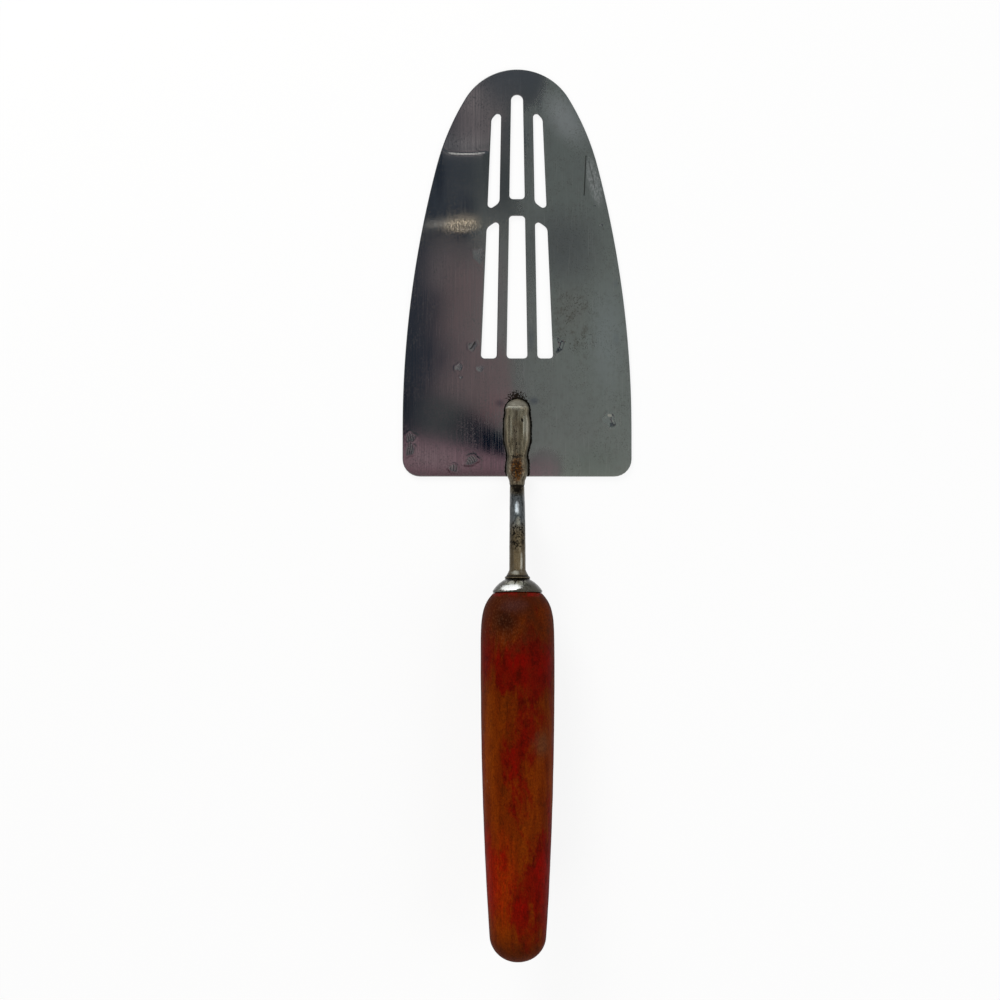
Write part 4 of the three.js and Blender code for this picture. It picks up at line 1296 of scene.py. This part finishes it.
def platedCapSteel():
    look = capFinish
    f = Finish("platedCapSteel")
    along = f.along()
    cloud = f.noise((0.3, 0.3, 0.3), detail=4, rough=0.6)
    grain = f.noise((1.6, 1.6, 1.6), detail=4, rough=0.6)
    f.base = f.blend(f.span(cloud, 0.35, 0.65), look["dull"], look["fair"])
    stain = f.span(grain, 0.50, 0.62)
    f.coat(f.both(stain, 0.75), look["stain"])
    # painted sheen: a lighter band on the dome under the collar
    f.coat(f.both(f.spot(*look["upperSheenPlace"], soft=0.5, wobble=(grain, 0.6)), 0.8), look["upper"])
    # painted shade: the rim below the highlight is darkened
    rim = f.span(f.plus(along, f.waver(grain, 0.8)), -36.7, -37.2)
    f.coat(f.both(rim, 0.7), look["rim"])
    # painted highlight: the bright spot on the dome
    f.coat(f.spot(*look["rubbedAndHighlightPlace"], soft=0.45, wobble=(grain, 0.9)), look["rubbedAndHighlight"])
    # painted highlight along the rim's lower right
    f.coat(f.both(f.spot(*look["edgeHighlightPlace"], soft=0.8, wobble=(grain, 1.0)), 0.5), look["edge"])
    # tarnish with painted shade: the right side of the cap is darker
    f.coat(f.span(f.plus(f.axes()[0], f.waver(grain, 6.0)), 0.8, 3.8, 0.0, 0.9), look["tarnishAndShade"])
    # painted shadow: the crevice under the collar and the folds are darkened
    creviceShade = f.span(f.plus(along, f.waver(grain, 0.6)), -33.9, -33.5)
    creviceShade = f.either(creviceShade, f.span(f.attribute("fold"), 0.35, 0.6))
    f.coat(f.both(creviceShade, 0.96), look["creviceShade"])
    # painted shade: darker where the cap turns away from above
    f.coat(f.span(f.plus(f.facing(), f.waver(grain, 0.3)), 0.62, 0.2, 0.0, 0.9), look["flankShade"])
    roughness = f.plus(f.span(cloud, 0.3, 0.7, 0.13, 0.22), f.both(stain, 0.25))
    return f.finish(roughness, f.bump(grain, 0.035, 0.5), 1.0)


woodFinish = {
    "darkGrain": (0.116, 0.0145, 0.0005),
    "paleGrain": (0.168, 0.026, 0.0006),
    "fibre": (0.07, 0.008, 0.0005),
    "darkPaint": (0.07, 0.0012, 0.0004),
    "paint": (0.18, 0.002, 0.0005),
    "paintFilm": (0.215, 0.0024, 0.0006),
    "cleanPaint": (0.31, 0.015, 0.0006),
    "ochre": (0.22, 0.042, 0.0008),
    "brownFilm": (0.05, 0.008, 0.001),
    "speckle": (0.04, 0.005, 0.0006),
    "front": (0.052, 0.0105, 0.0026),
    "smudge": (0.012, 0.003, 0.0015),
    "ash": (0.10, 0.05, 0.025),
    "bloom": (0.062, 0.028, 0.028),
    "rimPaint": (0.17, 0.006, 0.004),
    "rubbedAndHighlight": (0.09, 0.042, 0.02),
    "butt": (0.04, 0.008, 0.002),
    "flankShade": (0.025, 0.005, 0.002),
    "fleck": (0.20, 0.12, 0.08),
    # where the paint has lasted: place, amount
    "paintPatches": [
        (-1, -59, 17, 13, 0.27), (-6, -66, 5, 6, 0.12), (9, -56, 5, 9, 0.10), (-1.5, -88, 3.4, 11, 0.05),
        (7.5, -126, 6, 21, 0.24), (-9.5, -122, 4.5, 22, 0.15), (0.5, -136, 5, 8, 0.14),
        (-10.5, -100, 3, 14, 0.08), (0, -128, 15, 24, 0.08), (-2, -103, 4, 4, 0.03), (2, -76, 10, 16, 0.08),
        (-4, -109, 6, 11, -0.08),
    ],
    "bareStreak": (-8.2, -90.0, 4.0, 34.0),
    "cleaner": (-6.5, -126.0, 8.0, 20.0),
    "ochreStreak": (-9.0, -84.0, 2.6, 27.0),
    "glow": (8.0, -45.0, 5.5, 8.0),
    "smudged": (-4.3, -46.0, 5.0, 5.5),
    "ashen": (-4.5, -46.0, 10.0, 14.0),
    "bloomed": (-1.5, -41.2, 6.0, 3.4),
    "rubbedAndHighlightPlace": (7.2, -84.5, 4.5, 6.5),
}


def wornPaintedWood():
    look = woodFinish
    f = Finish("wornPaintedWood")
    lean = (shankWire["tilt"], 0, 0)
    along = f.along()
    grain = f.noise((0.42, 0.034, 0.42), detail=6, rough=0.6, twist=0.4, turn=lean)
    fibre = f.noise((2.6, 0.12, 2.6), detail=4, rough=0.65, turn=lean)
    cloud = f.noise((0.10, 0.038, 0.10), detail=6, rough=0.65, twist=0.6, turn=lean)
    mottle = f.noise((0.32, 0.2, 0.32), detail=6, rough=0.7)
    flake = f.noise((0.22, 0.10, 0.22), detail=6, rough=0.72, shift=(5, 2, 7))
    speckle = f.noise((1.1, 0.6, 1.1), detail=5, rough=0.7, shift=(3, 8, 2))
    tooth = f.noise((2.3, 1.5, 2.3), detail=3, rough=0.6, shift=(1, 4, 9))

    # bare wood, with the paint that has soaked into it
    f.base = f.blend(f.span(grain, 0.36, 0.64), look["darkGrain"], look["paleGrain"])
    f.coat(f.span(fibre, 0.52, 0.75, 0.0, 0.24), look["fibre"])
    painted = f.minus(cloud, f.both(f.panel(*look["bareStreak"], soft=0.7), 0.10))
    painted = f.plus(painted, f.waver(speckle, 0.28))
    for *place, amount in look["paintPatches"]:
        painted = f.plus(painted, f.both(f.spot(*place, soft=0.9, wobble=(flake, 1.2)), amount))
    deepRed = f.blend(f.span(mottle, 0.35, 0.65), look["darkPaint"], look["paint"])
    f.coat(f.span(painted, 0.44, 0.62, 0.0, 0.9), deepRed)
    film = f.plus(f.both(flake, 0.6), f.both(painted, 0.4))
    f.coat(f.span(film, 0.56, 0.66, 0.0, 0.8), look["paintFilm"])
    cleaner = f.spot(*look["cleaner"], soft=0.9, wobble=(flake, 1.2))
    f.coat(f.both(cleaner, f.span(fibre, 0.4, 0.6, 0.7, 0.3)), look["cleanPaint"])
    f.coat(f.both(f.panel(*look["ochreStreak"], soft=0.8), f.span(fibre, 0.4, 0.6, 0.6, 0.2)), look["ochre"])
    f.shade(f.span(along, -62.0, -112.0, 0.86, 1.11))

    # handling: brown film, a dark front with a smudge, a rubbed patch, and a darker butt, which is painted
    # shade where it rounds off
    f.coat(f.span(mottle, 0.48, 0.7, 0.0, 0.5), look["brownFilm"])
    f.coat(f.span(speckle, 0.55, 0.72, 0.0, 0.5), look["speckle"])
    front = f.span(f.plus(along, f.waver(mottle, 34.0)), -58.0, -42.0, 0.0, 0.9)
    glow = f.spot(*look["glow"], soft=0.9, wobble=(mottle, 1.0))
    f.coat(f.both(front, f.span(glow, 0.0, 1.0, 1.0, 0.3)), look["front"])
    f.coat(f.both(f.spot(*look["smudged"], soft=0.9, wobble=(mottle, 2.0)), 0.75), look["smudge"])
    ashen = f.both(f.spot(*look["ashen"], soft=0.9), f.span(tooth, 0.5, 0.66))
    f.coat(f.both(ashen, 0.28), look["ash"])
    f.coat(f.both(f.spot(*look["bloomed"], soft=0.9, wobble=(mottle, 1.4)), 0.4), look["bloom"])
    rim = f.both(f.span(along, -38.9, -38.0), f.span(flake, 0.44, 0.54))
    f.coat(f.both(rim, 0.8), look["rimPaint"])
    f.coat(f.both(f.spot(*look["rubbedAndHighlightPlace"], soft=0.95, wobble=(mottle, 1.6)), 0.55), look["rubbedAndHighlight"])
    # painted shade: the rounded butt is darkened
    f.coat(f.span(f.plus(along, f.waver(mottle, 12.0)), -141.0, -150.0, 0.0, 0.7), look["butt"])
    f.shade(f.span(tooth, 0.34, 0.66, 0.77, 1.17))
    # painted shade: darker where the handle turns away from above
    f.coat(f.span(f.facing(), 0.55, 0.0, 0.0, 0.55), look["flankShade"])
    fleck = f.span(f.noise((1.4, 0.5, 1.4), detail=3), 0.68, 0.74)
    f.coat(f.both(f.both(fleck, f.span(f.axes()[0], -7.0, -10.5)), 0.55), look["fleck"])

    roughness = f.plus(f.span(film, 0.5, 0.64, 0.55, 0.42), f.span(fibre, 0.3, 0.7, -0.05, 0.08))
    height = f.plus(f.both(fibre, 0.5), f.both(f.plus(mottle, speckle), 0.4))
    return f.finish(roughness, f.bump(height, 0.08, 0.4), 0.0, Specular_IOR_Level=0.02)


# stage: pale floor, soft lamps, and cards that the steel mirrors

stageSet = {
    "floorSize": 6.0,
    "floorDrop": 0.1 * mm,
    "floorWhite": 0.95,
    "floorGlow": 0.87,
    "fadeFrom": 0.4,
    "fadeTo": 1.1,
    "worldLight": 0.28,
    "lampAim": (0, 0, 0.01),
    "cardSoftness": 0.3,
}


# a flat card; with soft edges it gets a border over which the attribute "inside" falls to 0
def cardMesh(name, width, length, soft=0.0):
    shares = (-1, soft - 1, 1 - soft, 1) if soft else (-1, 1)
    count = len(shares)
    places = [(x * width / 2, y * length / 2, 0) for y in shares for x in shares]
    starts = [row * count + column for row in range(count - 1) for column in range(count - 1)]
    mesh = bpy.data.meshes.new(name)
    mesh.from_pydata(places, [], [(start, start + 1, start + count + 1, start + count) for start in starts])
    inside = [float(max(abs(x), abs(y)) < 1) for y in shares for x in shares]
    storeValues(mesh, "inside", inside)
    card = bpy.data.objects.new(name, mesh)
    bpy.context.scene.collection.objects.link(card)
    return card


def onlyMirrored(card):
    card.visible_camera = False
    card.visible_diffuse = False
    card.visible_shadow = False


# 1 for what the camera sees, also in metal, and 0 for light on the tool
def seenDirectly(tree):
    path = tree.nodes.new("ShaderNodeLightPath").outputs
    seen = path["Is Camera Ray"]
    for ray in ("Is Glossy Ray", "Is Transmission Ray"):
        seen = put(tree, "ShaderNodeMath", {0: seen, 1: path[ray]}, operation="MAXIMUM").outputs[0]
    return seen


def makeFloor():
    floor = cardMesh("floor", stageSet["floorSize"], stageSet["floorSize"])
    floor.location.z = -stageSet["floorDrop"]
    material = emptyMaterial("paleFloor")
    tree = material.node_tree
    white = (stageSet["floorWhite"],) * 3 + (1.0,)
    plain = put(tree, "ShaderNodeBsdfDiffuse", {"Color": white}).outputs[0]
    glow = put(tree, "ShaderNodeEmission", {"Strength": 1.0}).outputs[0]
    # far off the floor turns plain white, so that no horizon shows
    place = put(tree, "ShaderNodeTexCoord").outputs["Object"]
    away = put(tree, "ShaderNodeVectorMath", {0: place}, operation="LENGTH").outputs["Value"]
    fade = put(tree, "ShaderNodeMapRange", {
        "Value": away, "From Min": stageSet["fadeFrom"], "From Max": stageSet["fadeTo"],
        "To Min": stageSet["floorGlow"], "To Max": 1.0,
    }).outputs[0]
    share = put(tree, "ShaderNodeMath", {0: seenDirectly(tree), 1: fade}, operation="MULTIPLY")
    mixed = put(tree, "ShaderNodeMixShader", {0: share.outputs[0], 1: plain, 2: glow})
    put(tree, "ShaderNodeOutputMaterial", {"Surface": mixed.outputs[0]})
    floor.data.materials.append(material)


def makeWorld():
    world = bpy.data.worlds.new("studio")
    bpy.context.scene.world = world
    world.use_nodes = True
    tree = world.node_tree
    tree.nodes.clear()
    strength = put(tree, "ShaderNodeMix", {0: seenDirectly(tree), 2: stageSet["worldLight"], 3: 1.0})
    light = put(tree, "ShaderNodeBackground", {"Color": (1, 1, 1, 1), "Strength": strength.outputs[0]})
    put(tree, "ShaderNodeOutputWorld", {"Surface": light.outputs[0]})


# a card over the tool that only reflections see
# its soft panels are placed by the spot on the blade that mirrors them
roomCard = {
    "height": 700.0,
    "size": 1300.0,
    "plain": (0.33, 0.355, 0.34),
    # x, y from the rear edge, half width, half length, turn in degrees, softness, colour
    "panels": [
        (28, 130, 60, 70, 0, 0.5, (0.10, 0.115, 0.118)),
        (-3, 64, 9, 28, 0, 0.8, (0.265, 0.28, 0.275)),
        (0, 150, 60, 32, 0, 0.5, (0.118, 0.133, 0.153)),
        (-44, 60, 36, 150, 2, 0.22, (0.040, 0.052, 0.073)),
        (-23, 97, 9, 15, 0, 0.6, (0.082, 0.098, 0.12)),
        (-24.5, 70, 7.5, 12, 0, 0.7, (0.24, 0.205, 0.215)),
        (-12, 117, 15, 12, 0, 0.8, (0.32, 0.275, 0.285)),
        (-24, 110, 6, 6, 0, 0.7, (0.23, 0.23, 0.245)),
        (-16, 127, 7, 7, 0, 0.7, (0.42, 0.36, 0.365)),
        (22, 90, 17, 14, 0, 0.9, (0.20, 0.215, 0.22)),
        (24, 8, 22, 14, 0, 0.8, (0.25, 0.275, 0.258)),
        (-16, 58, 11, 22, -6, 0.6, (0.265, 0.195, 0.20)),
        (-9, 32, 17, 15, -27, 0.35, (0.275, 0.205, 0.21)),
        (-23, 18.5, 11, 9, -10, 0.5, (0.105, 0.118, 0.12)),
        (-7, 22, 6, 7, -38, 0.7, (0.31, 0.18, 0.19)),
        (-7.5, 11.2, 17.5, 6.0, -36, 0.45, (0.004, 0.011, 0.026)),
        (-24, -1.0, 31, 12.5, -14, 0.15, (0.41, 0.238, 0.28)),
        (-28, 6.5, 12, 5, -11, 0.9, (0.42, 0.31, 0.33)),
        (-20, -2.6, 30, 5.5, 0, 0.5, (0.10, 0.05, 0.062)),
        (-40, 21, 6, 13, 0, 0.5, (0.004, 0.01, 0.022)),
        (12, 1, 9, 6, 0, 0.6, (0.40, 0.27, 0.29)),
        (-25, 84.0, 15, 1.6, -2, 0.8, (0.46, 0.44, 0.41)),
        (-18.3, 83.2, 7.8, 2.4, 0, 0.85, (1.5, 1.22, 0.86)),
        (-15, 110.5, 9, 3.2, 0, 0.9, (0.50, 0.46, 0.46)),
        (-24, 161, 24, 9, 0, 0.7, (1.45, 1.4, 1.33)),
    ],
}


def makeRoomCard():
    card = cardMesh("roomCard", roomCard["size"] * mm, roomCard["size"] * mm)
    card.data.transform(Matrix.Translation((0, 0, roomCard["height"] * mm)))
    f = Finish("roomCard")
    grow = 1 + roomCard["height"] / cameraPlace["height"]
    f.base = roomCard["plain"]
    for x, y, halfX, halfY, turn, soft, tone in roomCard["panels"]:
        cardX = cameraPlace["x"] + (x - cameraPlace["x"]) * grow
        cardY = cameraPlace["y"] + (y - cameraPlace["y"]) * grow
        f.coat(f.panel(cardX, cardY, halfX * grow, halfY * grow, turn, soft), tone)
    glow = put(f.tree, "ShaderNodeEmission", {"Color": f.base, "Strength": 1.0})
    put(f.tree, "ShaderNodeOutputMaterial", {"Surface": glow.outputs[0]})
    card.data.materials.append(f.material)
    onlyMirrored(card)


# lamps: place (metres), size, power, colour
lamps = {
    "keyLamp": ((-0.30, 0.66, 0.42), 0.35, 4.6, (1.0, 0.98, 0.95)),
    "fillLamp": ((0.60, -0.10, 0.55), 0.5, 2.0, (0.95, 0.98, 1.0)),
    "rearLamp": ((-0.25, -0.60, 0.55), 0.4, 1.8, (1.0, 0.98, 0.95)),
}


# pale cards for the bright spots on the wire and the ferrule: place and aim (metres), width, height, colour
paleCards = {
    "windowCard": ((-0.26, 0.70, 0.34), (0, 0, 0.02), 0.70, 0.38, (1.75, 1.82, 1.86)),
    "rodCard": ((0, -0.020, 0.075), (0, -0.020, 0), 0.16, 0.062, (0.62, 0.59, 0.53)),
}


def makePaleCards():
    for name, (place, aim, width, height, colour) in paleCards.items():
        card = cardMesh(name, width, height, stageSet["cardSoftness"])
        turn = (Vector(aim) - Vector(place)).to_track_quat("Z", "Y").to_matrix().to_4x4()
        card.data.transform(Matrix.Translation(place) @ turn)
        material = emptyMaterial(name)
        tree = material.node_tree
        inside = put(tree, "ShaderNodeAttribute", attribute_name="inside").outputs["Fac"]
        clear = put(tree, "ShaderNodeBsdfTransparent").outputs[0]
        glow = put(tree, "ShaderNodeEmission", {"Color": (*colour, 1.0), "Strength": 1.0}).outputs[0]
        mixed = put(tree, "ShaderNodeMixShader", {0: inside, 1: clear, 2: glow})
        put(tree, "ShaderNodeOutputMaterial", {"Surface": mixed.outputs[0]})
        card.data.materials.append(material)
        onlyMirrored(card)


def makeLamps():
    for name, (place, size, power, colour) in lamps.items():
        data = bpy.data.lights.new(name, "AREA")
        data.energy, data.size, data.color = power, size, colour
        lamp = bpy.data.objects.new(name, data)
        lamp.location = place
        aim = Vector(stageSet["lampAim"]) - Vector(place)
        lamp.rotation_euler = aim.to_track_quat("-Z", "Y").to_euler()
        lamp.visible_glossy = False
        bpy.context.scene.collection.objects.link(lamp)


bpy.context.scene.view_settings.view_transform = "Standard"
makeCamera()
makeWorld()
makeFloor()
makeRoomCard()
makePaleCards()
makeLamps()
print("stage set")
makeBlade(brushedBladeSteel())
makeShank(forgedWireSteel())
makeFerrule(platedCapSteel())
makeHandle(wornPaintedWood())
